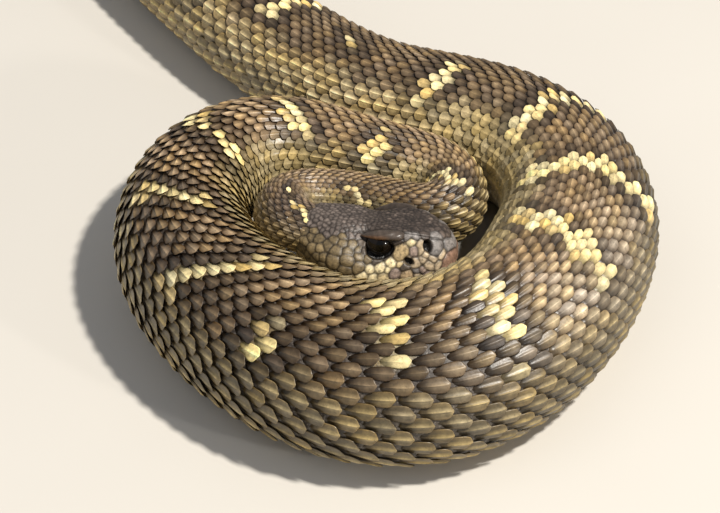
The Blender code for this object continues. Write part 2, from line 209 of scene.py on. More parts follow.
def linear(red: float, green: float, blue: float) -> Array:
    """Linear colour of a display colour given from 0 to 255."""
    return (np.array([red, green, blue]) / 255.0) ** 2.2


class Tint(Enum):
    """Named colours of the animal, and the painted shade of its deep places, as display colours."""

    BLOTCH = (134, 113, 86)
    BLOTCH_HEART = (164, 141, 108)
    FLANK = (164, 146, 106)
    LOW_FLANK = (156, 138, 97)
    LILAC = (206, 190, 162)
    CREAM = (232, 212, 156)
    TAN = (190, 160, 100)
    EDGE = (46, 40, 38)
    SKIN = (66, 60, 57)
    FLECK = (136, 128, 120)
    BELLY = (168, 150, 112)
    TAIL_DARK = (52, 44, 38)
    TAIL_PALE = (142, 130, 104)
    CROWN = (76, 67, 61)
    CROWN_BACK = (110, 99, 92)
    NAPE = (104, 90, 76)
    BROW = (76, 67, 60)
    BROW_RIM = (104, 78, 58)
    TEMPORAL = (114, 99, 73)
    PREOCULAR = (172, 150, 112)
    OCULAR = (92, 82, 72)
    CREAM_PLATE = (226, 208, 164)
    PALE_PLATE = (206, 184, 140)
    TAN_PLATE = (184, 164, 136)
    RIM_PLATE = (150, 140, 122)
    OCHRE_PLATE = (192, 166, 130)
    MAUVE_PLATE = (160, 140, 128)
    GREY_PLATE = (124, 118, 114)
    ROSTRAL = (144, 114, 96)
    CHIN = (186, 170, 128)
    # Dark seams between the head's plates; the brow shields' inner edges take it as painted shade.
    GROOVE = (34, 29, 25)
    # Painted shade of the deep places: nostrils, heat pits, eye hollows, mouth line and brow line.
    HOLLOW_SHADE = (14, 9, 8)
    IRIS = (29, 24, 20)
    PUPIL = (9, 7, 6)
    HORN = (176, 150, 104)
    HORN_DARK = (70, 54, 38)

    @property
    def rgb(self) -> Array:
        """Linear colour."""
        return linear(*self.value)


def unit(v: Array) -> Array:
    """Vectors of length one along v."""
    return v / np.linalg.norm(v, axis=-1, keepdims=True)


def smooth(low: float, high: float, x: Array) -> Array:
    """Smooth step from 0 at low to 1 at high."""
    t = np.clip((np.asarray(x, float) - low) / (high - low), 0.0, 1.0)
    return t * t * (3.0 - 2.0 * t)


def hill(x: Array, middle: float, reach: float) -> Array:
    """Bell curve of height 1 about middle."""
    return np.exp(-(((np.asarray(x, float) - middle) / reach) ** 2))


def window(x: Array, opens: Span | None = None, closes: Span | None = None) -> Array:
    """Smooth window, the smooth step over opens times 1 less the smooth step over closes.

    Args:
        x: Where to read it.
        opens: Where it goes from 0 to 1; open from the start without it.
        closes: Where it goes from 1 to 0; open to the end without it.

    Returns:
        Numbers from 0 to 1.
    """
    opened = 1.0 if opens is None else smooth(*opens, x)
    closed = 0.0 if closes is None else smooth(*closes, x)
    return opened * (1.0 - closed)


def mix(base: Array, over: Array, share: Array) -> Array:
    """Colours of base with a share of over laid on each place.

    Args:
        base: Colours, or one for all places.
        over: Colours, or one for all places.
        share: One number from 0 to 1 for each place.

    Returns:
        Colours.
    """
    share = np.asarray(share)[..., None]
    return base * (1.0 - share) + over * share


def spline(at: Array, rows: Array) -> Array:
    """Second derivatives of the natural cubic through rows at the parameters at.

    Args:
        at: Rising parameters.
        rows: One row of values for each parameter.

    Returns:
        The second derivatives, one row for each parameter.
    """
    gaps = np.diff(at)
    size = len(at)
    left = np.zeros((size, size))
    right = np.zeros(rows.shape)
    left[0, 0] = left[-1, -1] = 1.0
    inner = np.arange(1, size - 1)
    left[inner, inner - 1] = gaps[:-1]
    left[inner, inner] = 2.0 * (gaps[:-1] + gaps[1:])
    left[inner, inner + 1] = gaps[1:]
    slopes = np.diff(rows, axis=0) / gaps[:, None]
    right[1:-1] = 6.0 * np.diff(slopes, axis=0)
    return np.linalg.solve(left, right)


def read_spline(at: Array, rows: Array, bend: Array, u: Array) -> Array:
    """Rows of the natural cubic at the parameters u.

    Args:
        at: Parameters of the known rows.
        rows: Known rows.
        bend: Second derivatives at them.
        u: Where to read.

    Returns:
        One row for each u.
    """
    k = np.clip(np.searchsorted(at, u, side="right") - 1, 0, len(at) - 2)
    gap = at[k + 1] - at[k]
    a = ((at[k + 1] - u) / gap)[:, None]
    b = ((u - at[k]) / gap)[:, None]
    curve = (a ** 3 - a) * bend[k] + (b ** 3 - b) * bend[k + 1]
    return a * rows[k] + b * rows[k + 1] + curve * (gap[:, None] ** 2) / 6.0


def fine_part(s: Array) -> Array:
    """How far s lies in the length of the loop's right side, where the scales are finer, from 0 to 1."""
    return window(s, FINE_OPENS, FINE_CLOSES)


def scale_pitch(s: Array, half: Array) -> Array:
    """Step from scale to scale along the body, which grows with its girth and levels off.

    Args:
        s: Distances along the body.
        half: Half widths and half heights of the body there, in the last axis.

    Returns:
        The step in millimetres.
    """
    full = 1.0 - np.exp(-((half.sum(axis=-1) / GIRTH_SCALE) ** GIRTH_POWER))
    return PITCH_MOST * full * (1.0 - FINE_SHORTER * fine_part(s))


class MiddleLine:
    """The body's middle line and ovals by distance from the head's joint."""

    samples: int = 6001
    softening: int = 41

    def __init__(self) -> None:
        """Samples the cubic through the way-points finely, measures along it and softens its bends."""
        rows = np.array(WAY)
        chords = np.linalg.norm(np.diff(rows[:, :3], axis=0), axis=1)
        at = np.concatenate([[0.0], np.cumsum(chords ** 0.5)])
        u = np.linspace(at[1], at[-1], self.samples)
        self.rows = read_spline(at, rows, spline(at, rows), u)
        steps = np.linalg.norm(np.diff(self.rows[:, :3], axis=0), axis=1)
        self.along = np.concatenate([[0.0], np.cumsum(steps)])
        self.ahead = unit(np.gradient(self.rows[:, :3], axis=0))
        turn = np.gradient(self.ahead, axis=0) / np.gradient(self.along)[:, None]
        kernel = np.hanning(self.softening)
        kernel /= kernel.sum()
        padded = [np.pad(column, self.softening // 2, "edge") for column in turn.T]
        self.turn = np.stack([np.convolve(column, kernel, "valid") for column in padded], axis=1)
        self.long = float(self.along[-1])

    def read(self, s: Array, table: Array) -> Array:
        """Rows of a table at the distances s."""
        return np.stack([np.interp(s, self.along, column) for column in table.T], axis=-1)

    def frame(self, s: Array) -> tuple[Array, Array, Array, Array, Array]:
        """Frames along the body.

        Args:
            s: Distances from the joint; before it the line runs on straight.

        Returns:
            Middle, way to the tail, left side, up, and half width with half height.
        """
        s = np.asarray(s, float)
        row = self.read(s, self.rows)
        ahead = unit(self.read(s, self.ahead))
        over = np.minimum(s, 0.0) + np.maximum(s - self.long, 0.0)
        middle = row[..., :3] + ahead * over[..., None]
        left = unit(np.cross(ahead, np.array([0.0, 0.0, 1.0])))
        up = np.cross(left, ahead)
        roll = (HEAD_ROLL * (1.0 - smooth(0.0, NECK_UNROLLS, s)))[..., None]
        rolled_left = left * np.cos(roll) - up * np.sin(roll)
        rolled_up = up * np.cos(roll) + left * np.sin(roll)
        return middle, ahead, rolled_left, rolled_up, row[..., 3:5]

    def surface(self, s: Array, theta: Array, lift: Array, least: float) -> Array:
        """Points on the oval at s and theta, raised by lift and kept at least so high above the floor.

        Args:
            s: Distances along the body.
            theta: Angles in radians, 0 at the left, a quarter turn at the top.
            lift: Height over the solids' surface.
            least: Lowest height over the floor.

        Returns:
            Points in the coil's frame.
        """
        middle, _, left, up, half = self.frame(s)
        across = np.cos(theta) * (half[..., 0] + lift)
        above = np.sin(theta) * (half[..., 1] + lift)
        points = middle + left * across[..., None] + up * above[..., None]
        points[..., 2] = np.maximum(points[..., 2], least)
        return points

    def stretch(self, s: Array, theta: Array) -> Array:
        """How much longer the surface is than the middle line: 1 less its offset along the line's bend.

        Args:
            s: Distances along the body.
            theta: Angles in radians, as for the surface.

        Returns:
            Over 1 on the outside of a bend and under 1 on the inside.
        """
        _, _, left, up, half = self.frame(s)
        across = (np.cos(theta) * half[..., 0])[..., None]
        above = (np.sin(theta) * half[..., 1])[..., None]
        return 1.0 - np.sum((left * across + up * above) * self.read(s, self.turn), axis=-1)


LINE = MiddleLine()


class HeadForm:
    """The head's frame and outlines, the same as the solids'."""

    def __init__(self) -> None:
        """Places the frame at the joint and prepares the outlines' cubic."""
        middle, ahead, _, _, _ = LINE.frame(np.array(0.0))
        self.start = middle
        self.back = -ahead
        self.forward = np.array([math.cos(HEAD_YAW), math.sin(HEAD_YAW), 0.0])
        sky = np.array([0.0, 0.0, 1.0])
        level = np.cross(sky, self.forward)
        self.left = level * math.cos(HEAD_ROLL) - sky * math.sin(HEAD_ROLL)
        self.up = sky * math.cos(HEAD_ROLL) + level * math.sin(HEAD_ROLL)
        self.at = np.array(HEAD_AT)
        self.rows = np.array([CROWN, CANTHUS_WIDE, CANTHUS_HIGH, FACE_WIDE, CHEEK_WIDE,
                              LIP_WIDE, MOUTH_HIGH, CHIN_DEEP]).T
        self.bend = spline(self.at, self.rows)

    def place(self, p: Array) -> Array:
        """Moves points of the head's frame to the coil's, leaning at the joint to meet the neck.

        Args:
            p: Points as distance ahead, to the left and up.

        Returns:
            Points in the coil's frame.
        """
        moved = self.start + p[..., 0:1] * self.forward + p[..., 1:2] * self.left + p[..., 2:3] * self.up
        near = np.clip(1.0 - p[..., 0:1] / HEAD_LEANS, 0.0, 1.0) ** 2
        turn = self.back - self.forward
        lean = p[..., 1:2] * (turn @ self.left) + p[..., 2:3] * (turn @ self.up)
        return moved - self.forward * (near * lean)

    def section(self, x: Array, v: Array) -> Array:
        """Half sections of the head.

        The outline at x runs through eight points, crown, its shoulder, canthus, face, cheek, lip, jaw
        edge and chin, by a Catmull-Rom curve in v, and is dented round the eye.

        Args:
            x: Distances ahead of the joint, one for each row.
            v: Places down the outline, 0 at the crown, 5 at the lip and 7 at the chin.

        Returns:
            Points (x, y, z) of the left half, by row and place.
        """
        crown, canthus, high, face, cheek, lip, mouth, chin = read_spline(self.at, self.rows, self.bend, x).T
        zero = np.zeros_like(crown)
        keys = np.stack([
            np.stack([zero, crown], -1),
            np.stack([SHOULDER_OUT * canthus, crown - SHOULDER_DOWN * (crown - high)], -1),
            np.stack([canthus, high], -1),
            np.stack([face, high + FACE_DOWN * (mouth - high)], -1),
            np.stack([cheek, high + CHEEK_DOWN * (mouth - high)], -1),
            np.stack([lip, mouth], -1),
            np.stack([JAW_OUT * lip, -chin + JAW_UP * (chin + mouth)], -1),
            np.stack([zero, -chin], -1),
        ], axis=1)
        ghost = np.array([-1.0, 1.0])
        keys = np.concatenate([keys[:, 1:2] * ghost, keys, keys[:, 6:7] * ghost], axis=1)
        k = np.clip(np.floor(v).astype(int), 0, 6)
        t = (v - k)[None, :, None]
        p0, p1, p2, p3 = (keys[:, k + i] for i in range(4))
        pull = (2.0 * p1 + (p2 - p0) * t + (2.0 * p0 - 5.0 * p1 + 4.0 * p2 - p3) * t ** 2
                + (3.0 * p1 - p0 - 3.0 * p2 + p3) * t ** 3)
        y, z = 0.5 * pull[..., 0], 0.5 * pull[..., 1]
        dent = np.exp(-((x[:, None] - EYE_AT[0]) / ORBIT_LONG) ** 2 - ((z - EYE_AT[2]) / ORBIT_HIGH) ** 2)
        y = y - ORBIT_DEEP * dent * np.clip(y / ORBIT_FROM, 0.0, 1.0)
        return np.stack([np.broadcast_to(x[:, None], y.shape), y, z], axis=-1)

    def spot(self, x: float, v: float) -> Array:
        """The point of the left half at one x and v."""
        return self.section(np.array([x]), np.array([v]))[0, 0]


HEAD = HeadForm()


@dataclass
class Sheet:
    """Numbers of one mesh before it is made.

    They are its points, the faces' corners one after another, how many corners each face has, a map
    place for each corner, a colour for each point, and whether each face is shaded round.
    """

    points: Array
    corners: Array
    totals: Array
    uv: Array
    tone: Array
    rounded: Array

    def outward(self) -> tuple[Array, Array]:
        """Corners and map with the faces turned outwards, by the sign of the volume that they enclose.

        Six times the volume is the sum of a x b . c over the triangles that fan out of each face's
        first corner.

        Returns:
            Corners and map places.
        """
        starts = self.starts()
        volume = 0.0
        for total in np.unique(self.totals):
            faces = starts[self.totals == total]
            ring = self.points[self.corners[faces[:, None] + np.arange(total)]]
            for i in range(1, total - 1):
                volume += np.sum(np.cross(ring[:, 0], ring[:, i]) * ring[:, i + 1])
        if volume >= 0.0:
            return self.corners, self.uv
        order = np.repeat(starts * 2 + self.totals - 1, self.totals) - np.arange(len(self.corners))
        return self.corners[order], self.uv[order]

    def starts(self) -> Array:
        """Place of each face's first corner."""
        return np.concatenate([[0], np.cumsum(self.totals)[:-1]]).astype(np.int32)


def make_piece(name: str, sheet: Sheet, material: bpy.types.Material) -> bpy.types.Object:
    """Makes one finished piece at the origin, with outward faces, and rides it on the body.

    Args:
        name: Piece name.
        sheet: Its numbers, points in millimetres of the coil's frame.
        material: Its finish.

    Returns:
        The new object.
    """
    at = (sheet.points + np.array([COIL_X, COIL_Y, 0.0])) * MM
    corners, uv = sheet.outward()
    mesh = bpy.data.meshes.new(name)
    mesh.vertices.add(len(at))
    mesh.vertices.foreach_set("co", at.astype(np.float32).ravel())
    mesh.loops.add(len(corners))
    mesh.loops.foreach_set("vertex_index", corners.astype(np.int32))
    mesh.polygons.add(len(sheet.totals))
    mesh.polygons.foreach_set("loop_start", sheet.starts())
    mesh.update(calc_edges=True)
    mesh.polygons.foreach_set("use_smooth", sheet.rounded)
    layer = mesh.uv_layers.new(name="OFBake")
    layer.data.foreach_set("uv", uv.astype(np.float32).ravel())
    colours = mesh.color_attributes.new(name="tone", type="FLOAT_COLOR", domain="POINT")
    rgba = np.concatenate([np.clip(sheet.tone, 0.0, 1.0), np.ones((len(at), 1))], axis=1)
    colours.data.foreach_set("color", rgba.astype(np.float32).ravel())
    mesh.materials.append(material)
    mesh.update()
    made = bpy.data.objects.new(name, mesh)
    bpy.context.scene.collection.objects.link(made)
    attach(made, BODY)
    log.info("%s: %d faces, %d triangles", name, len(sheet.totals), int(np.sum(sheet.totals - 2)))
    return made


def on_map(uv: Array) -> Array:
    """Map places from 0 to 1 drawn in from the map's edge."""
    return uv * MAP_SHARE + MAP_EDGE


def closed_tube(points: Array, tone: Array, along: Array) -> Sheet:
    """Closed skin over rings, with a pole at each end's middle.

    The side's faces join place j of ring i with place j + 1 and with the next ring. A fan of triangles
    closes each end.

    Args:
        points: Points by ring and place round it.
        tone: Colours of the same shape.
        along: Map place of each ring, from 0 to 1.

    Returns:
        The sheet, whose map runs along and round it.
    """
    rings, count = points.shape[:2]
    flat = points.reshape(-1, 3)
    ends = np.stack([points[0].mean(axis=0), points[-1].mean(axis=0)])
    end_tone = np.stack([tone[0].mean(axis=0), tone[-1].mean(axis=0)])
    i_of = np.repeat(np.arange(rings - 1), count)
    j_of = np.tile(np.arange(count), rings - 1)
    k_of = (j_of + 1) % count
    quads = np.stack([i_of * count + j_of, (i_of + 1) * count + j_of,
                      (i_of + 1) * count + k_of, i_of * count + k_of], axis=-1)
    j = np.arange(count)
    k = (j + 1) % count
    base = (rings - 1) * count
    near = np.stack([np.full(count, len(flat)), j, k], axis=-1)
    far = np.stack([base + k, base + j, np.full(count, len(flat) + 1)], axis=-1)
    u = np.stack([along[i_of], along[i_of + 1], along[i_of + 1], along[i_of]], axis=-1)
    w = np.stack([j_of, j_of, j_of + 1, j_of + 1], axis=-1) / count
    side_uv = np.stack([u, w], axis=-1).reshape(-1, 2)
    near_uv = np.stack([np.full((count, 3), along[0]) - [MAP_POLE, 0.0, 0.0],
                        np.stack([j + 0.5, j, j + 1], -1) / count], axis=-1).reshape(-1, 2)
    far_uv = np.stack([np.full((count, 3), along[-1]) + [0.0, 0.0, MAP_POLE],
                       np.stack([j + 1, j, j + 0.5], -1) / count], axis=-1).reshape(-1, 2)
    totals = np.concatenate([np.full(len(quads), 4), np.full(2 * count, 3)])
    return Sheet(np.vstack([flat, ends]),
                 np.concatenate([quads.ravel(), near.ravel(), far.ravel()]),
                 totals,
                 on_map(np.vstack([side_uv, near_uv, far_uv])),
                 np.vstack([tone.reshape(-1, 3), end_tone]),
                 np.ones(len(totals), bool))


class Recipe:
    """A new material with its Principled shader, and short ways to add and join nodes."""

    def __init__(self, name: str) -> None:
        """Starts the material.

        Args:
            name: Material name.
        """
        self.material = bpy.data.materials.new(name)
        self.material.use_nodes = True
        self.tree = self.material.node_tree
        self.shader = self.tree.nodes["Principled BSDF"]

    def feed(self, node: bpy.types.Node, inputs: dict[str | int, Feed]) -> None:
        """Links or sets inputs of a node.

        Args:
            node: The node.
            inputs: For each input a socket that feeds it, or its fixed value.
        """
        for key, value in inputs.items():
            if isinstance(value, bpy.types.NodeSocket):
                self.tree.links.new(value, node.inputs[key])
            else:
                node.inputs[key].default_value = value

    def add(self, kind: str, inputs: dict[str | int, Feed], **settings: str) -> bpy.types.Node:
        """Adds a node.

        Args:
            kind: Its type.
            inputs: What feeds it, as for feed.
            settings: Its own settings, made first.

        Returns:
            The node.
        """
        node = self.tree.nodes.new("ShaderNode" + kind)
        for key, value in settings.items():
            setattr(node, key, value)
        self.feed(node, inputs)
        return node

    def tone(self) -> bpy.types.NodeSocket:
        """The piece's own colours."""
        return self.add("Attribute", {}, attribute_name="tone").outputs["Color"]

    def noise(self, per_metre: float, detail: float = 2.0) -> bpy.types.NodeSocket:
        """Cloudy noise on Object coordinates, with so many swells to the metre."""
        place = self.add("TexCoord", {}).outputs["Object"]
        return self.add("TexNoise", {"Vector": place, "Scale": per_metre, "Detail": detail}).outputs["Fac"]

    def spread(self, value: bpy.types.NodeSocket, source: Span, target: Span) -> bpy.types.NodeSocket:
        """The value brought from the span source to the span target and held within it."""
        ends = {"From Min": source[0], "From Max": source[1], "To Min": target[0], "To Max": target[1]}
        return self.add("MapRange", {"Value": value, **ends}).outputs["Result"]


@dataclass(frozen=True)
class ScaleFinish:
    """Finish of scales, skin and horn: the piece's own tone, mottled, with fine relief and a dull sheen."""

    name: str
    rough: float = 0.46
    mottle: float = 0.20
    mottle_per_metre: float = 900.0
    grain_per_metre: float = 2600.0
    grain_deep: float = 0.00005
    speck_tint: Tint = Tint.EDGE
    specks: float = 0.0
    specks_per_metre: float = 2300.0
    cloud_ends: Span = (0.3, 0.7)
    speck_ends: Span = (0.56, 0.68)
    smoother: float = 0.08
    rougher: float = 0.10

    def build(self) -> bpy.types.Material:
        """Makes the material.

        The tone is multiplied by broad noise, specks of another tint lie where finer noise is high,
        and the finest noise gives the relief and varies the sheen.

        Returns:
            A material that reads the tone attribute and Object coordinates.
        """
        recipe = Recipe(self.name)
        cloud = recipe.spread(recipe.noise(self.mottle_per_metre, 4.0), self.cloud_ends,
                              (1.0 - self.mottle, 1.0 + self.mottle))
        mottled = recipe.add("VectorMath", {0: recipe.tone(), "Scale": cloud}, operation="SCALE")
        colour = mottled.outputs["Vector"]
        if self.specks:
            few = recipe.spread(recipe.noise(self.specks_per_metre), self.speck_ends, (0.0, self.specks))
            speck = (*self.speck_tint.rgb, 1.0)
            speckled = recipe.add("Mix", {"Factor": few, "A": colour, "B": speck}, data_type="RGBA")
            colour = speckled.outputs["Result"]
        grain = recipe.noise(self.grain_per_metre, 3.0)
        relief = recipe.add("Bump", {"Height": grain, "Strength": 0.5, "Distance": self.grain_deep})
        rough = recipe.spread(grain, (0.0, 1.0), (self.rough - self.smoother, self.rough + self.rougher))
        recipe.feed(recipe.shader, {"Base Color": colour, "Normal": relief.outputs["Normal"],
                                    "Roughness": rough, "Specular IOR Level": 0.5})
        return recipe.material


@dataclass(frozen=True)
class EyeFinish:
    """Finish of the eye: its own tone under a clear, shining scale."""

    name: str
    rough: float = 0.13
    gloss: float = 0.40

    def build(self) -> bpy.types.Material:
        """Makes the material.

        Returns:
            A material that reads the tone attribute.
        """
        recipe = Recipe(self.name)
        recipe.feed(recipe.shader, {"Base Color": recipe.tone(), "Roughness": self.rough,
                                    "Specular IOR Level": self.gloss})
        return recipe.material


@dataclass(frozen=True)
class Wash:
    """A part of the body that is lighter or darker than its tint: partly painted light and shade for how the
    key light falls on the flanks, partly the body's own tone.

    The amount is what it adds to 1, and the sum multiplies the tint. It acts inside smooth windows along
    the body, round it from the left side, and away from the spine, each given by where it opens and
    closes. A swell is a bell curve along the body instead, by its middle and reach.
    """

    amount: float
    opens: Span | None = None
    closes: Span | None = None
    swell: Span | None = None
    round_opens: Span | None = None
    round_closes: Span | None = None
    aside_opens: Span | None = None
    aside_closes: Span | None = None

    def light(self, s: Array, degrees: Array, aside: Array) -> Array:
        """What the wash adds.

        Args:
            s: Distances along the body.
            degrees: Angles round it.
            aside: Angles from the spine to either side.

        Returns:
            One number for each place.
        """
        along = window(s, self.opens, self.closes) if self.swell is None else hill(s, *self.swell)
        across = window(degrees, self.round_opens, self.round_closes)
        return self.amount * along * across * window(aside, self.aside_opens, self.aside_closes)


# Lighter and darker washes: partly painted light and shade, darker on lower flanks and lighter on an upper
# flank as the key light falls, partly the body's own tone.
TONE_AND_SHADE_WASHES = (
    Wash(-0.40, (112.0, 150.0), (200.0, 232.0), round_closes=(58.0, 96.0)),
    Wash(-0.58, (200.0, 225.0), (300.0, 330.0), round_closes=(22.0, 66.0)),
    Wash(-0.20, (236.0, 252.0), (290.0, 310.0), round_closes=(60.0, 100.0)),
    Wash(0.22, (245.0, 275.0), round_opens=(110.0, 135.0)),
    Wash(-0.35, (255.0, 290.0), aside_closes=(38.0, 60.0)),
    Wash(0.26, swell=(126.0, 14.0)),
    Wash(0.08, swell=(96.0, 14.0)),
    Wash(0.20, swell=(188.0, 22.0), round_opens=(58.0, 80.0)),
    Wash(-0.07, swell=(42.0, 14.0)),
    Wash(-0.34, swell=(25.0, 13.0), aside_opens=(35.0, 60.0)),
)


def all_bars() -> list[Array]:
    """The seen bars, repeated at even steps over the hidden length.

    Returns:
        For each bar its points, as degrees round the body and distance along it.
    """
    bars = [np.array(bar, float) for bar in SEEN_BARS]
    for at in np.arange(FIRST_HIDDEN_BAR, FIRST_TAIL_RING - BAR_EVERY / 2.0, BAR_EVERY):
        bars.append(np.array([(44.0, at - 1.5), (90.0, at), (136.0, at - 1.0)]))
    return bars


@dataclass
class Pattern:
    """Markings of the body by distance and angle: pale bars, dark edges, blotches, flanks and tail rings.

    Spans of angles count from the spine, and bars' widths are counted in scales.
    """

    flank: Span = (33.0, 53.0)
    low_flank: Span = (70.0, 112.0)
    flank_ragged: float = 14.0
    heart_waves: float = 3.2
    lilac_at: Span = (224.0, 20.0)
    lilac_round: Span = (48.0, 24.0)
    nape_ends: Span = (4.0, 26.0)
    bar_half: float = 0.60
    bar_half_fine: float = 0.14
    bar_ragged: float = 0.76
    wide_bar: float = 0.24
    wide_bar_at: Span = (231.0, 9.0)
    edge_fades: Span = (1.2, 2.4)
    cream_browns: Span = (0.62, 0.9)
    lilac: float = 0.85
    nape: float = 0.8
    nape_aside: Span = (50.0, 100.0)
    edge: float = 0.85
    browning: float = 0.8
    bar_ends: Span = (3.0, 9.0)
    edge_ends: Span = (8.0, 22.0)
    tail_fade: float = 12.0
    bars: list[Array] = field(default_factory=all_bars)

    def spine(self, s: Array) -> Array:
        """Angle of the back's middle at s, in degrees round from the left."""
        return 90.0 - np.interp(s, ROLL_AT, ROLL_DEGREES)

    def aside(self, s: Array, degrees: Array) -> Array:
        """Angle from the back's middle to either side, from 0 to 180 degrees."""
        return np.abs((degrees - self.spine(s) + 180.0) % 360.0 - 180.0)

    def bars_at(self, s: Array, degrees: Array, luck: Array) -> tuple[Array, Array]:
        """How far each place lies in a pale bar, 0 or more, and in the dark beside one.

        The distance to a bar's line is divided by the scales' step there, and chance makes the bar
        wider or narrower from scale to scale.

        Args:
            s: Distances along the body.
            degrees: Angles round it.
            luck: A number from 0 to 1 for each scale.

        Returns:
            Shares of pale and of dark.
        """
        pitch = scale_pitch(s, LINE.frame(s)[4])
        bend = np.clip(LINE.stretch(s, np.radians(degrees)), 0.7, 1.5)
        wide_bar = self.wide_bar * hill(s, *self.wide_bar_at)
        reach = self.bar_half + self.bar_half_fine * fine_part(s) + wide_bar + self.bar_ragged * (luck - 0.5)
        pale = np.zeros(np.shape(s))
        dark = np.zeros(np.shape(s))
        for bar in self.bars:
            off = np.abs(s - np.interp(degrees, bar[:, 0], bar[:, 1])) * bend / pitch
            before, past = degrees - bar[0, 0], degrees - bar[-1, 0]
            inside = window(-before, closes=self.bar_ends) * window(past, closes=self.bar_ends)
            around = window(-before, closes=self.edge_ends) * window(past, closes=self.edge_ends)
            pale = np.maximum(pale, inside * (off < reach))
            dark = np.maximum(dark, around * window(off, closes=self.edge_fades))
        return pale, dark

    def tail_rings(self, s: Array) -> Array:
        """Colours of the tail's even dark and pale rings at s."""
        ring = np.maximum(0.0, np.cos((s - FIRST_TAIL_RING) / TAIL_RING_EVERY * 2.0 * math.pi))
        return mix(Tint.TAIL_PALE.rgb, Tint.TAIL_DARK.rgb, smooth(0.2, 0.5, ring))

    def tones(self, s: Array, degrees: Array, luck: Array) -> tuple[Array, Array]:
        """Colours of scales or skin, laid one over another from the ground tints, through washes that are
        partly painted light and shade, to the bars.

        Args:
            s: Distances along the body.
            degrees: Angles round it from the left side, in degrees.
            luck: A number from 0 to 1 for each scale, which varies it.

        Returns:
            Colours, and how much of a pale bar each place is.
        """
        degrees = (degrees + 90.0) % 360.0 - 90.0
        aside = self.aside(s, degrees)
        low = smooth(*self.low_flank, aside)
        heart = (0.5 + 0.5 * np.cos(np.radians(aside * self.heart_waves))) * (0.35 + 0.65 * luck)
        back = mix(Tint.BLOTCH.rgb, Tint.BLOTCH_HEART.rgb, heart)
        side = mix(Tint.FLANK.rgb, Tint.LOW_FLANK.rgb, low)
        tone = mix(back, side, smooth(*self.flank, aside + self.flank_ragged * (luck - 0.5)))
        # Washes, partly painted light and shade.
        tone = tone * (1.0 + sum(wash.light(s, degrees, aside) for wash in TONE_AND_SHADE_WASHES))[..., None]
        lilac = self.lilac * hill(s, *self.lilac_at) * hill(degrees, *self.lilac_round)
        tone = mix(tone, Tint.LILAC.rgb, lilac)
        nape = self.nape * window(s, closes=self.nape_ends) * (1.0 - 0.5 * smooth(*self.nape_aside, aside))
        tone = mix(tone, Tint.NAPE.rgb, nape)
        pale, dark = self.bars_at(s, degrees, luck)
        tone = mix(tone, Tint.EDGE.rgb, self.edge * dark * (0.55 + 0.45 * luck) * (1.0 - 0.6 * low))
        cream = mix(Tint.CREAM.rgb, Tint.TAN.rgb, self.browning * smooth(*self.cream_browns, luck))
        tone = mix(tone, cream, pale)
        on_tail = smooth(FIRST_TAIL_RING - self.tail_fade, FIRST_TAIL_RING, s)
        return mix(tone, self.tail_rings(s), on_tail), pale


PATTERN = Pattern()


@dataclass
class Skin:
    """The one skin under the coat, from the snout to the rattle."""

    count: int = 96
    step: float = 1.7
    head_inset: float = 1.9
    eye_inset: float = 1.0
    head_rings: int = 26
    snout_rings: int = 4
    head_first: float = 1.0
    head_last: float = 26.0
    head_end: float = 27.2
    body_first: float = 0.4
    body_short: float = 0.05
    ground: float = 0.75
    shows: float = 0.10
    pale_shows: float = 0.20
    head_map: float = 0.05
    head_map_long: float = 0.045

    def head(self, share: Array) -> tuple[Array, Array]:
        """Rings of the head's outlines, each point drawn towards its ring's middle, more round the eye.

        Args:
            share: Places round the ring, from 0 at the crown to 1.

        Returns:
            Points in the coil's frame, and the rings' distances ahead of the joint.
        """
        tip = self.head_end - 0.5 * np.linspace(0.0, 1.0, self.snout_rings) ** 2
        x = np.concatenate([tip, np.linspace(self.head_last, self.head_first, self.head_rings)])
        half = HEAD.section(x, 7.0 * (1.0 - np.abs(1.0 - 2.0 * share)))
        half[..., 1] *= np.where(share < 0.5, -1.0, 1.0)
        centre = half.mean(axis=1, keepdims=True) * np.array([0.0, 0.0, 1.0])
        centre = centre + x[:, None, None] * np.array([1.0, 0.0, 0.0])
        arm = half - centre
        reach = np.linalg.norm(arm, axis=-1, keepdims=True)
        inset = self.head_inset + self.eye_inset * hill(x, EYE_AT[0], 4.0)[:, None, None]
        return HEAD.place(centre + arm * np.maximum(0.2, 1.0 - inset / np.maximum(reach, 1.0))), x

    def sheet(self) -> Sheet:
        """Rings of the head's outlines drawn in, then the body's ovals drawn in by the coat's depth.

        A wave over both places stands for a scale's chance in the pattern, whose tone shows faintly.

        Returns:
            The skin's sheet.
        """
        share = np.arange(self.count) / self.count
        head, x = self.head(share)
        s = np.append(np.arange(self.body_first, LINE.long, self.step), LINE.long - self.body_short)
        theta = math.pi / 2.0 + 2.0 * math.pi * share
        grid_s, grid_t = np.meshgrid(s, theta, indexing="ij")
        body = LINE.surface(grid_s, grid_t, -COAT, COAT + FLOOR_GAP)
        luck = 0.5 + 0.5 * np.sin(grid_s * 2.1 + 3.0 * np.sin(grid_t * 5.0))
        tone, pale = PATTERN.tones(grid_s, np.degrees(grid_t), luck)
        tone = Tint.SKIN.rgb * self.ground + tone * (self.shows + self.pale_shows * pale[..., None])
        head_tone = np.broadcast_to(Tint.SKIN.rgb, head.shape)
        along = np.concatenate([self.head_map - self.head_map_long * x / SNOUT,
                                self.head_map + (1.0 - self.head_map) * s / LINE.long])
        return closed_tube(np.concatenate([head, body]), np.concatenate([head_tone, tone]),
                           np.clip(along, 0.0, 1.0))

    def build(self) -> None:
        """Makes the skin, which stands for every solid of flesh."""
        finish = ScaleFinish("skin_between_scales", rough=0.5, mottle=0.5, mottle_per_metre=1500.0,
                             speck_tint=Tint.FLECK, specks=0.55, grain_deep=0.00020)
        made = make_piece("skin", self.sheet(), finish.build())
        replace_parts(made, *[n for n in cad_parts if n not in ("eye_left", "eye_right", "rattle")])


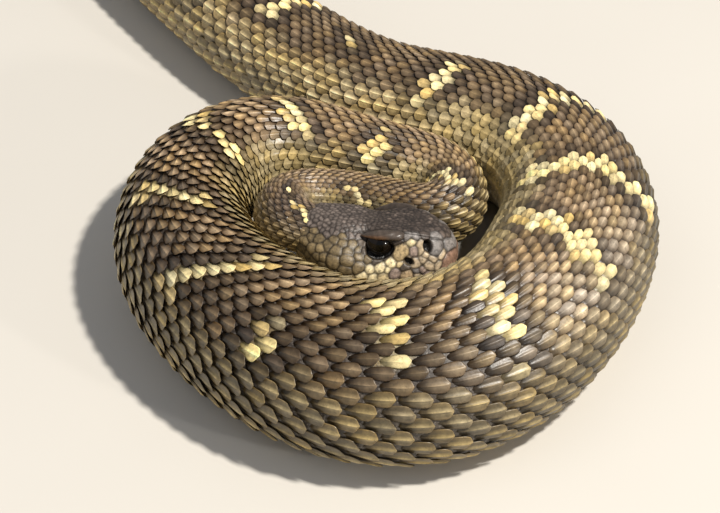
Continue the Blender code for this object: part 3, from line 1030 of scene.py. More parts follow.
def stations() -> tuple[Array, Array]:
    """Distances of the whole and half steps of the lattice.

    The step at s comes from the body's girth there, so the count n(s) is the running sum of 1 / step,
    read backwards.

    Returns:
        Distances of the even rows' scales and of the odd rows'.
    """
    s = np.linspace(-1.0, LINE.long, 8000)
    pitch = scale_pitch(s, LINE.frame(s)[4])
    count = np.concatenate([[0.0], np.cumsum(np.diff(s) / pitch[1:])])
    whole = np.arange(0.6, count[-1] - 0.9)
    return np.interp(whole, count, s), np.interp(whole + 0.5, count, s)


def deep(values: Array) -> Array:
    """One number for each scale, shaped to go with grids of rows and columns."""
    return values[:, None, None]


@dataclass
class Seats:
    """Where scales grow: distances, angles, angles between rows there, and random numbers for each."""

    s: Array
    degrees: Array
    gap: Array
    luck: Array

    def __post_init__(self) -> None:
        """Works out the step, the bend and the side of the body at each seat."""
        self.pitch = scale_pitch(self.s, LINE.frame(self.s)[4])
        self.size = self.pitch / PITCH_MIDDLE
        self.bend = LINE.stretch(self.s, np.radians(self.degrees))
        self.outer = smooth(0.80, 1.05, self.bend)
        self.aside = smooth(22.0, 58.0, PATTERN.aside(self.s, self.degrees))

    def between(self, first: float, last: float) -> "Seats":
        """The seats from the distance first to the distance last."""
        here = (self.s >= first) & (self.s < last)
        return Seats(self.s[here], self.degrees[here], self.gap[here], self.luck[here])

    def even(self, column: int) -> Array:
        """Random numbers of one column, from -0.5 to 0.5, shaped for grids."""
        return deep(self.luck[:, column] - 0.5)


class Stretch(Enum):
    """Lengths of the coat, each one piece: name, first and last distance, material slot."""

    NECK = ("scales_neck_and_hairpin", -5.0, 84.0, "body_skin")
    INNER = ("scales_inner_ring", 84.0, 150.0, "body_skin")
    FRONT = ("scales_front_of_coil", 150.0, 232.0, "body_skin")
    OUTER = ("scales_outer_loop", 232.0, 318.0, "body_skin")
    HIND = ("scales_hind_body", 318.0, 440.0, "body_skin")
    REAR = ("scales_rear_and_vent", 440.0, VENT, "body_skin")
    TAIL = ("scales_tail", VENT, 600.0, "tail_skin")


class Chance(IntEnum):
    """What each of a scale's random numbers varies."""

    LENGTH = 0
    SHIFT = 1
    WIDTH = 2
    SKEW = 3
    HEIGHT = 4
    MARKING = 5
    BRIGHTNESS = 6
    HUE_AND_SLANT = 7


@dataclass(frozen=True)
class ScaleTone:
    """How light is spread over one scale, in factors of its tone, painted highlights and painted shade among
    them.

    Colours are red, green and blue. Places down and across are a middle and a reach, or two ends.
    """

    least: float = 0.74
    chance: float = 0.52
    hue: tuple[float, float, float] = (0.09, 0.0, -0.32)
    margin: tuple[float, float, float] = (0.34, 0.27, 0.22)
    margin_aside: tuple[float, float, float] = (0.20, 0.23, 0.22)
    pale_margin: float = 0.74
    heart: float = 1.30
    heart_down: Span = (0.72, 0.32)
    heart_across: Span = (0.0, 0.68)
    # The keel's pale line is partly a painted highlight, the dark line beside it painted shade in the furrow,
    # the hind rim's pale line partly a painted highlight, and the root's darkness painted shade where the tip
    # before it lies over it.
    keel: float = 1.10
    keel_furrow_shade: float = 0.50
    beside_across: Span = (0.36, 0.22)
    rim: float = 0.80
    rim_from: Span = (0.82, 1.0)
    root: float = 0.45
    root_ends: Span = (0.26, 0.60)


@dataclass
class DorsalScales:
    """Keeled scales of the back and sides, joined into one mesh for each stretch of the body.

    Each is a grid in t, down from root to tip, and v, across from -1 to 1, with a flat underside.
    Lengths are shares of the step along the body, widths are shares of the gap between rows, and heights
    are in millimetres on a scale of middle size.
    """

    across: tuple[float, ...] = (-1.0, -0.84, -0.48, -0.11, 0.0, 0.11, 0.48, 0.84, 1.0)
    down: tuple[float, ...] = (0.0, 0.27, 0.52, 0.70, 0.82, 0.91, 0.97, 1.0)
    long_share: float = 1.42
    spine_short: float = 0.12
    wide_share: float = 0.64
    spine_slim: float = 0.06
    spine_root: float = 0.60
    flank_root: float = 0.80
    shoulder: float = 0.70
    tip_power: float = 2.9
    root: float = -0.20
    lift: float = 0.86
    dome: float = 0.30
    keel: float = 0.34
    keel_wide: float = 0.08
    seat_at: float = 0.56
    tip_bow: float = 0.06
    chance_heights: float = 0.06
    usual_ratio: float = 0.117
    ratio_power: float = 1.6
    rows_least: float = 0.86
    rows_most: float = 1.25
    right_wider: float = 0.10
    tail_wider: float = 0.25
    fine_first: float = 0.24
    fine_growth: float = 0.52
    last_turn: float = 123.0
    map_side: float = 0.003
    seed: int = 11
    tone: ScaleTone = ScaleTone()

    def lattice(self) -> Seats:
        """Where the scales grow.

        Row k lies first k + growth k squared degrees from the spine, wider where the step is long for
        the girth, and odd rows are half a step along from even ones.

        Returns:
            The seats, by rows from the left side over the spine.
        """
        even, odd = stations()
        out = []
        for row in range(-ROWS_EACH_SIDE, ROWS_EACH_SIDE + 1):
            s = even if row % 2 == 0 else odd
            k = abs(row)
            half = LINE.frame(s)[4]
            ratio = scale_pitch(s, half) / half.sum(axis=-1) / self.usual_ratio
            spread = np.clip(self.rows_least * ratio ** self.ratio_power, self.rows_least, self.rows_most)
            spread = spread * (1.0 + self.right_wider * smooth(225.0, 285.0, s)
                               + self.tail_wider * smooth(VENT - 60.0, LINE.long, s))
            first = ROW_TURN * (1.0 - self.fine_first * fine_part(s))
            growth = ROW_GROWTH * (1.0 + self.fine_growth * fine_part(s))
            turn = (first * k + growth * k * k) * spread
            gap = (first + 2.0 * growth * k) * spread
            degrees = PATTERN.spine(s) - np.sign(row) * turn
            out.append(np.stack([s, degrees, gap])[:, turn < self.last_turn])
        s, degrees, gap = np.concatenate(out, axis=1)
        return Seats(s, degrees, gap, np.random.default_rng(self.seed).random((len(s), len(Chance))))

    def plan(self, at: Seats, t: Array, v: Array) -> tuple[Array, Array]:
        """Distances and angles of the scales' points.

        The half width grows by a quarter of a sine from the root to the shoulder, and from there to the
        tip it ends in a superellipse. The tip is bowed, and chance skews each scale a little.

        Args:
            at: The seats.
            t: Places down the scale.
            v: Places across it.

        Returns:
            Distances along the body and angles in radians.
        """
        spine = 1.0 - at.aside
        long = at.pitch * self.long_share * (1.0 - self.spine_short * spine)
        long = long * np.clip(at.bend, 1.0, 1.5) ** 0.40 * np.clip(at.bend, 0.66, 1.0) ** 0.75
        long = deep(long) * (1.0 + 0.10 * at.even(Chance.LENGTH))
        past = np.clip((t - self.shoulder) / (1.005 - self.shoulder), 0.0, 1.0)
        blunt = (1.0 - past ** self.tip_power) ** (1.0 / self.tip_power)
        narrow = deep(self.spine_root + (self.flank_root - self.spine_root) * at.aside)
        flared = narrow + (1.0 - narrow) * np.sin(math.pi / 2.0 * t / self.shoulder)
        fill = np.where(t < self.shoulder, flared, blunt)
        uneven = 0.05 * at.even(Chance.SHIFT) + 0.10 * at.even(Chance.HUE_AND_SLANT) * v
        along = long * (t - self.seat_at - self.tip_bow * v ** 2 * t ** 4 + uneven)
        wide = deep(np.radians(at.gap) * self.wide_share * (1.0 - self.spine_slim * spine)) * fill
        wide = wide * (1.0 + 0.12 * at.even(Chance.WIDTH))
        grid_s = deep(at.s) + along / deep(np.maximum(at.bend, 0.45))
        return grid_s, deep(np.radians(at.degrees)) + wide * (v + 0.24 * at.even(Chance.SKEW) * t)

    def line(self, v: Array) -> Array:
        """Share of the keel's height across the scale, a narrow bell."""
        return np.exp(-((v / self.keel_wide) ** 2))

    def rise(self, t: Array) -> Array:
        """Share of the keel's height down the scale: it starts behind the root and dies out at the tip."""
        return smooth(0.04, 0.30, t) * (1.0 - smooth(0.86, 1.0, t))

    def relief(self, at: Seats, t: Array, v: Array) -> Array:
        """Heights of the scales' points over the solids' surface.

        It is the slope from root to tip, plus a dome across, plus a narrow bell for the keel. Where the
        body presses on its neighbours beside the neck, the scales stand out further.

        Args:
            at: The seats.
            t: Places down the scale.
            v: Places across it.

        Returns:
            Heights in millimetres.
        """
        size = deep(at.size)
        dome = self.dome * size * (1.0 - 0.45 * deep(at.aside)) * (1.0 - np.abs(v) ** 2.6)
        dome = dome * (0.25 + 0.75 * np.sin(math.pi * np.minimum(1.0, 0.08 + 0.86 * t)))
        keel = self.keel * size * (0.40 + 0.60 * deep(at.outer)) * self.rise(t) * self.line(v)
        slope = self.root + (self.lift * size + 0.04) * t ** 1.5
        loose = 0.05 + self.chance_heights * size * at.even(Chance.HEIGHT)
        turned = at.degrees % 360.0
        bunch = sum(high * hill(at.s, *along) * hill(turned, *around) for high, along, around in BUNCHES)
        return slope + dome + keel - COAT + loose + deep(bunch)

    def colours(self, at: Seats, t: Array, v: Array) -> Array:
        """Colours of the scales' points.

        The pattern's tone, varied by chance, is brightest in the scale's heart. The keel and the hind rim
        are pale lines on the sides, partly painted highlights; a line of painted shade lies beside the keel,
        and the root is in painted shade, where the tip before it lies over it.

        Args:
            at: The seats.
            t: Places down the scale.
            v: Places across it.

        Returns:
            Linear colours by scale, row and column.
        """
        look = self.tone
        tone, pale = PATTERN.tones(at.s, at.degrees, at.luck[:, Chance.MARKING])
        hue = 1.0 + (at.luck[:, Chance.HUE_AND_SLANT, None] - 0.5) * np.array(look.hue)
        tone = tone * (look.least + look.chance * at.luck[:, Chance.BRIGHTNESS, None]) * hue
        across = np.abs(v) + 0.0 * t
        aside, outer, pale = deep(at.aside), deep(at.outer), deep(pale)
        sheen = (aside * (1.9 - 1.4 * outer))[..., None]
        margin = mix(np.array(look.margin) + np.array(look.margin_aside) * sheen, look.pale_margin, pale)
        heart = (hill(t, *look.heart_down) * hill(across, *look.heart_across))[..., None]
        colour = tone[:, None, None, :] * (margin + (look.heart - margin) * heart)
        # Pale keel line, partly a painted highlight, with painted shade in the furrows beside it.
        keel = look.keel * self.line(v) - look.keel_furrow_shade * hill(across, *look.beside_across)
        keel = keel * self.rise(t) * (0.30 + 0.70 * aside) * (0.15 + 0.85 * outer) * (1.0 - 0.6 * pale)
        # Pale hind rim, partly a painted highlight.
        rim = smooth(*look.rim_from, np.maximum(across, 0.97 * t)) * smooth(0.35, 0.6, t)
        rim = look.rim * rim * (0.20 + 0.80 * aside) * (0.35 + 0.65 * outer)
        # Painted shade over the root, where the tip before it lies.
        root_shade = look.root + (1.0 - look.root) * smooth(*look.root_ends, t)
        return colour * (root_shade * (1.0 + keel + rim))[..., None]

    def sheet(self, at: Seats) -> Sheet:
        """The joined mesh of the scales at the seats.

        Args:
            at: The seats.

        Returns:
            The sheet.
        """
        t = np.array(self.down)[None, :, None]
        v = np.array(self.across)[None, None, :]
        grid_s, grid_t = self.plan(at, t, v)
        points = LINE.surface(grid_s, grid_t, self.relief(at, t, v), FLOOR_GAP)
        return self.joined(points, self.colours(at, t, v), at.s, at.degrees)

    def joined(self, points: Array, colour: Array, s: Array, degrees: Array) -> Sheet:
        """Faces, map and colours of many scales.

        Args:
            points: Points by scale, row and column.
            colour: Colours of the same shape.
            s: Distances of the scales, which place them on the map.
            degrees: Angles of the scales, which place them on the map.

        Returns:
            The sheet, with a closed underside on each scale.
        """
        many, rows, columns = points.shape[:3]
        grid = np.arange(rows * columns).reshape(rows, columns)
        top = np.stack([grid[:-1, :-1], grid[:-1, 1:], grid[1:, 1:], grid[1:, :-1]], axis=-1).reshape(-1, 4)
        under = np.stack([grid[:-1, 0], grid[1:, 0], grid[1:, -1], grid[:-1, -1]], axis=-1)
        one = np.concatenate([top.ravel(), under.ravel(), grid[0, ::-1], grid[-1]])
        totals = np.concatenate([np.full(len(top) + len(under), 4), [columns, columns]])
        rounded = np.concatenate([np.ones(len(top), bool), np.zeros(len(under) + 2, bool)])
        corners = (one[None] + (np.arange(many) * rows * columns)[:, None]).ravel()
        local = np.meshgrid(np.array(self.down) - 0.5, np.array(self.across) * 0.5, indexing="ij")
        home = np.stack([0.05 + 0.90 * s / LINE.long, (degrees % 360.0) / 360.0], axis=-1)
        place = home[:, None, :] + np.stack(local, axis=-1).reshape(1, -1, 2) * self.map_side
        uv = on_map(place[:, one].reshape(-1, 2))
        return Sheet(points.reshape(-1, 3), corners, np.tile(totals, many), uv,
                     colour.reshape(-1, 3), np.tile(rounded, many))

    def build(self) -> None:
        """Makes one piece for each stretch."""
        seats = self.lattice()
        dry = ScaleFinish("dorsal_scales", rough=0.36, specks=0.30, mottle=0.28).build()
        for stretch in Stretch:
            name, first, last, slot = stretch.value
            make_piece(name, self.sheet(seats.between(first, last)), dry)


@dataclass
class BellyScutes:
    """Broad plates under the body, one to each step of the lattice."""

    columns: int = 17
    down: tuple[float, ...] = (0.0, 0.45, 0.85, 1.0)
    half_turn: float = 63.0
    long_share: float = 1.30
    bow: float = 0.10
    seed: int = 5

    def sheet(self) -> Sheet:
        """Each plate is a grid in t towards the tail and v across, raised at its hind edge, closed below.

        Returns:
            The joined sheet.
        """
        s, _ = stations()
        t = np.array(self.down)[None, :, None]
        v = np.linspace(-1.0, 1.0, self.columns)[None, None, :]
        pitch = deep(scale_pitch(s, LINE.frame(s)[4]))
        middle = deep(np.radians(PATTERN.spine(s) + 180.0))
        stretch = np.clip(LINE.stretch(deep(s) + 0.0 * v, middle + 0.0 * v), 0.5, 1.6)
        grid_s = deep(s) + pitch * self.long_share * (t - 0.5 - self.bow * v ** 2) / stretch
        grid_t = middle + math.radians(self.half_turn) * v + 0.0 * t
        lift = -COAT - 0.12 + 0.34 * t + 0.08 * (1.0 - v ** 8)
        points = LINE.surface(grid_s, grid_t, lift, FLOOR_GAP)
        freckle = 0.75 + 0.35 * np.random.default_rng(self.seed).random(len(s))
        belly = mix(Tint.BELLY.rgb, Tint.LOW_FLANK.rgb, smooth(0.55, 1.0, np.abs(v)))
        colour = belly * freckle[:, None, None, None] * np.ones((*points.shape[:3], 1))
        shape = DorsalScales(across=tuple(v.ravel()), down=self.down)
        return shape.joined(points, colour, s, PATTERN.spine(s) + 180.0)

    def build(self) -> None:
        """Makes the joined plates."""
        finish = ScaleFinish("belly_plates", rough=0.36, specks=0.3)
        make_piece("belly_scutes", self.sheet(), finish.build())


@dataclass(frozen=True)
class Plate:
    """One named plate of the head: places along and down the side, its width and its colour."""

    spots: tuple[Span, ...]
    size: float
    tint: Tint


# Plates that the head's side shows, given for one side, x ahead of the joint and v down the outline.
SIDE_PLATES = (
    Plate(((11.4, 2.10), (12.6, 2.08), (13.8, 2.06), (15.0, 2.06), (16.2, 2.06), (17.2, 2.10)),
          2.0, Tint.BROW),
    Plate(((17.3, 2.40),), 1.3, Tint.BROW),
    Plate(((18.3, 2.88), (17.8, 3.12)), 2.5, Tint.PREOCULAR),
    Plate(((19.9, 2.40),), 1.6, Tint.CREAM_PLATE),
    Plate(((19.0, 2.10), (20.2, 2.08)), 1.7, Tint.GREY_PLATE),
    Plate(((20.6, 2.88),), 1.8, Tint.MAUVE_PLATE),
    Plate(((21.4, 2.53), (21.5, 2.85)), 1.6, Tint.TAN_PLATE),
    Plate(((24.1, 2.38), (24.3, 2.78)), 2.3, Tint.GREY_PLATE),
    Plate(((21.9, 1.72),), 1.7, Tint.CROWN),
    Plate(((23.8, 1.62),), 1.8, Tint.GREY_PLATE),
    Plate(((13.0, 3.78),), 2.0, Tint.CREAM_PLATE),
    Plate(((14.8, 3.73),), 2.3, Tint.CREAM_PLATE),
    Plate(((16.6, 3.50),), 2.1, Tint.CREAM_PLATE),
    Plate(((16.2, 3.90),), 1.6, Tint.CREAM_PLATE),
    Plate(((12.0, 4.17),), 2.1, Tint.CREAM_PLATE),
    Plate(((13.6, 4.33),), 2.0, Tint.CREAM_PLATE),
    Plate(((15.5, 4.38),), 2.2, Tint.PALE_PLATE),
    Plate(((17.5, 4.20),), 2.4, Tint.MAUVE_PLATE),
    Plate(((19.7, 4.55),), 2.8, Tint.OCHRE_PLATE),
    Plate(((21.4, 4.67),), 1.7, Tint.TAN_PLATE),
    Plate(((17.6, 4.88),), 1.5, Tint.TAN_PLATE),
    Plate(((18.2, 3.58),), 1.3, Tint.PALE_PLATE),
    Plate(((19.1, 3.85),), 1.5, Tint.OCULAR),
    Plate(((21.4, 4.30),), 1.3, Tint.GREY_PLATE),
    Plate(((21.1, 3.62),), 1.8, Tint.TAN_PLATE),
    Plate(((22.2, 3.42),), 1.4, Tint.TAN_PLATE),
    Plate(((22.5, 3.08),), 1.2, Tint.TAN_PLATE),
    Plate(((23.5, 3.88),), 2.1, Tint.TAN_PLATE),
    Plate(((24.1, 3.33),), 1.8, Tint.TAN_PLATE),
    Plate(((22.5, 4.23),), 1.6, Tint.MAUVE_PLATE),
    Plate(((23.2, 4.73),), 1.8, Tint.MAUVE_PLATE),
    Plate(((25.0, 3.85),), 1.7, Tint.TAN_PLATE),
    Plate(((25.2, 2.98),), 1.5, Tint.TAN_PLATE),
    Plate(((12.3, 3.14),), 1.7, Tint.TEMPORAL),
    Plate(((14.0, 3.40),), 1.6, Tint.OCULAR),
    Plate(((10.7, 2.97),), 2.0, Tint.TEMPORAL),
    Plate(((11.0, 3.55),), 2.5, Tint.TEMPORAL),
    Plate(((8.8, 3.22),), 2.8, Tint.TEMPORAL),
    Plate(((8.6, 2.78),), 1.9, Tint.TEMPORAL),
    Plate(((6.3, 2.80),), 2.1, Tint.TEMPORAL),
    Plate(((6.0, 3.45),), 2.7, Tint.TEMPORAL),
    Plate(((7.1, 2.48),), 1.7, Tint.TEMPORAL),
    Plate(((9.1, 2.50),), 1.6, Tint.TEMPORAL),
    Plate(((5.6, 2.40),), 1.7, Tint.TEMPORAL),
    Plate(((8.6, 3.82),), 2.3, Tint.TEMPORAL),
    Plate(((10.2, 2.66),), 1.2, Tint.TEMPORAL),
    Plate(((10.6, 2.40),), 1.0, Tint.OCULAR),
    Plate(((11.2, 2.76),), 1.0, Tint.OCULAR),
    Plate(((12.9, 3.00),), 1.0, Tint.RIM_PLATE),
    Plate(((14.3, 3.16),), 1.0, Tint.RIM_PLATE),
    Plate(((15.7, 3.20),), 1.0, Tint.OCULAR),
    Plate(((16.9, 3.02),), 1.0, Tint.OCULAR),
)
SNOUT_PLATES = (
    Plate(((27.1, 3.2), (27.0, 2.6), (27.0, 4.0), (26.5, 3.4), (26.2, 4.2)), 2.2, Tint.ROSTRAL),
    Plate(((26.3, 1.6), (26.6, 1.2), (26.5, 2.0)), 1.9, Tint.GREY_PLATE),
    Plate(((26.6, 6.4),), 2.2, Tint.CHIN),
    Plate(((22.4, 6.62), (24.2, 6.55)), 2.2, Tint.CHIN),
)


@dataclass(frozen=True)
class PlateField:
    """A field of small plates at chance places: its ends along and down the head, their step and tint."""

    along: Span
    down: Span
    step: float
    tint: Tint


PLATE_FIELDS = (
    PlateField((-1.5, 10.5), (0.0, 2.15), 1.02, Tint.CROWN),
    PlateField((10.5, 19.0), (0.0, 1.8), 0.88, Tint.CROWN),
    PlateField((19.0, 26.8), (0.0, 1.85), 1.05, Tint.CROWN),
    PlateField((-1.5, 12.0), (2.15, 5.0), 1.65, Tint.TEMPORAL),
    PlateField((12.0, 26.4), (2.5, 5.0), 1.4, Tint.TAN_PLATE),
    PlateField((-1.5, 26.4), (5.2, 7.0), 2.0, Tint.CHIN),
)


@dataclass(frozen=True)
class LipRow:
    """An even row of plates on both sides: its ends and step along the head, its place down the side,
    the plates' size and tint, and the least and the chance part of their brightness.
    """

    along: Span
    step: float
    down: float
    size: float
    tint: Tint
    least: float
    chance: float


LIP_ROWS = (
    LipRow((5.6, 10.6), 1.85, 4.62, 1.9, Tint.TEMPORAL, 1.1, 0.3),
    LipRow((6.0, 25.8), 1.78, 5.42, 1.95, Tint.CHIN, 0.75, 0.4),
)


@dataclass
class Cells:
    """Plates of the head as cells round seeds, each with a place, a size, its plate's number and a colour."""

    seed: int = 23
    last_x: float = 27.2
    first_x: float = -1.6
    row_step: float = 0.87
    jitter: float = 0.60
    room: float = 0.38
    block: int = 4000

    def __post_init__(self) -> None:
        """Sows the named plates, the rows along the lips and the fields between, in that order."""
        self.rng = np.random.default_rng(self.seed)
        self.count = 0
        self.points: list[Array] = []
        self.sizes: list[float] = []
        self.numbers: list[int] = []
        self.tints: list[Array] = []
        self.sow_named()
        self.sow_lips()
        self.sow_fields()

    def add(self, p: Array, size: float, tint: Array, number: int) -> None:
        """Adds one seed.

        Args:
            p: Its point in the head's frame.
            size: Its plate's width.
            tint: Its colour.
            number: Its plate's number; seeds of one number share a plate.
        """
        self.points.append(p)
        self.sizes.append(size)
        self.numbers.append(number)
        self.tints.append(tint)

    def sow_named(self) -> None:
        """Adds the named plates of both sides; one at the snout's middle is shared by the sides."""
        for plate in SIDE_PLATES + SNOUT_PLATES:
            shared = plate in SNOUT_PLATES and 1.0 <= plate.spots[0][1] <= 6.5
            for side in (-1.0, 1.0):
                tint = plate.tint.rgb * (0.86 + 0.28 * self.rng.random())
                number = self.count if shared else self.count + (side > 0.0)
                for x, v in plate.spots:
                    self.add(HEAD.spot(x, v) * np.array([1.0, side, 1.0]), plate.size, tint, number)
            self.count += 2

    def sow_lips(self) -> None:
        """Adds the even rows of plates above and below the mouth line."""
        for side in (-1.0, 1.0):
            for row in LIP_ROWS:
                for x in np.arange(*row.along, row.step):
                    tint = row.tint.rgb * (row.least + row.chance * self.rng.random())
                    self.add(HEAD.spot(x, row.down) * np.array([1.0, side, 1.0]), row.size, tint, self.count)
                    self.count += 1

    def sow_fields(self) -> None:
        """Fills what is left with small plates, in rows across that are jittered by chance."""
        known, known_size = np.array(self.points), np.array(self.sizes)
        for ground in PLATE_FIELDS:
            fine = np.linspace(*ground.down, 120)
            for i, x in enumerate(np.arange(*ground.along, ground.step * self.row_step)):
                curve = HEAD.section(np.array([np.clip(x, 0.0, self.last_x)]), fine)[0]
                run = np.concatenate([[0.0], np.cumsum(np.linalg.norm(np.diff(curve, axis=0), axis=1))])
                for side in (-1.0, 1.0):
                    for arc in np.arange(0.5 * ground.step * (0.5 + (i % 2)), run[-1], ground.step):
                        jitter = (self.rng.random(2) - 0.5) * self.jitter * ground.step
                        v = np.interp(arc + jitter[0], run, fine)
                        p = HEAD.spot(np.clip(x + jitter[1], self.first_x, self.last_x), v)
                        p = p * np.array([1.0, side, 1.0])
                        free = np.linalg.norm(known - p, axis=1) - 0.5 * known_size
                        if free.min() < self.room * ground.step:
                            continue
                        patch = 1.0 + 0.34 * math.sin(1.1 * x + side) * math.sin(1.7 * arc + 0.6 * x)
                        self.add(p, ground.step, self.field_tint(ground.tint, x, patch), self.count)
                        self.count += 1

    def field_tint(self, tint: Tint, x: float, patch: float) -> Array:
        """Colour of one small plate, by chance; the crown has a few pale grains and is greyer behind.

        Args:
            tint: The field's tint.
            x: Distance ahead of the joint.
            patch: Brightness of the patch that it lies in.

        Returns:
            The colour.
        """
        shade = tint.rgb * (0.60 + 0.75 * self.rng.random()) * patch
        if tint is not Tint.CROWN:
            return shade
        shade = shade * (1.0 + 0.9 * (self.rng.random() > 0.90))
        return mix(shade, Tint.CROWN_BACK.rgb * (0.50 + 0.75 * self.rng.random()), 1.0 - smooth(6.0, 14.0, x))

    def read(self, at: Array) -> tuple[Array, Array, Array, Array]:
        """The plate that each point belongs to and how far it is from the next plate.

        The plates are the cells of a power diagram: a point belongs to the seed for which its squared
        distance less the squared half size is least. Its distance to the border with another seed is
        half the difference of those numbers over the seeds' distance, and a soft least of them all
        rounds the corners.

        Args:
            at: Points in the head's frame.

        Returns:
            Distance to the border, seed size, colour, and offset from the seed.
        """
        seeds, sizes = np.array(self.points), np.array(self.sizes)
        numbers, tints = np.array(self.numbers), np.array(self.tints)
        distances = np.sum((seeds[:, None] - seeds[None]) ** 2, axis=2)
        border = np.empty(len(at))
        owner = np.empty(len(at), int)
        for start in range(0, len(at), self.block):
            part = at[start:start + self.block]
            power = (np.sum(part ** 2, axis=1)[:, None] - 2.0 * part @ seeds.T + np.sum(seeds ** 2, axis=1)
                     - (0.5 * sizes) ** 2)
            best = np.argmin(power, axis=1)
            least = power[np.arange(len(part)), best]
            apart = np.sqrt(np.maximum(distances[best], 0.04))
            off = (power - least[:, None]) / (2.0 * apart)
            off = np.where(numbers[None, :] == numbers[best][:, None], FAR, off)
            soft = (0.05 + 0.055 * sizes[best])[:, None]
            border[start:start + self.block] = -soft[:, 0] * np.log(np.sum(np.exp(-off / soft), axis=1))
            owner[start:start + self.block] = best
        return border, sizes[owner], tints[owner], at - seeds[owner]


@dataclass(frozen=True)
class Hole:
    """A slanting hollow on both sides of the snout: its place, half length, half height, slant and depth."""

    x: float
    v: float
    long: float
    high: float
    slant: float
    deep: float
    through: float = 3.0
    rim: Span = (0.62, 1.02)

    def share(self, base: Array) -> Array:
        """How far each point of the head lies in the hollow, which is an oval sheared by its slant.

        Args:
            base: Points in the head's frame.

        Returns:
            1 at the hollow's middle and 0 outside it.
        """
        at = HEAD.spot(self.x, self.v)
        off = base - at
        off[..., 1] = np.abs(base[..., 1]) - at[1]
        along = (off[..., 0] + self.slant * off[..., 2]) / self.long
        far = np.sqrt(along ** 2 + (off[..., 2] / self.high) ** 2 + (off[..., 1] / self.through) ** 2)
        return 1.0 - smooth(*self.rim, far)


NOSTRIL = Hole(22.75, 2.55, 0.90, 1.30, 0.25, 1.5)
PIT = Hole(19.8, 3.50, 1.00, 0.80, 0.5, 1.3)


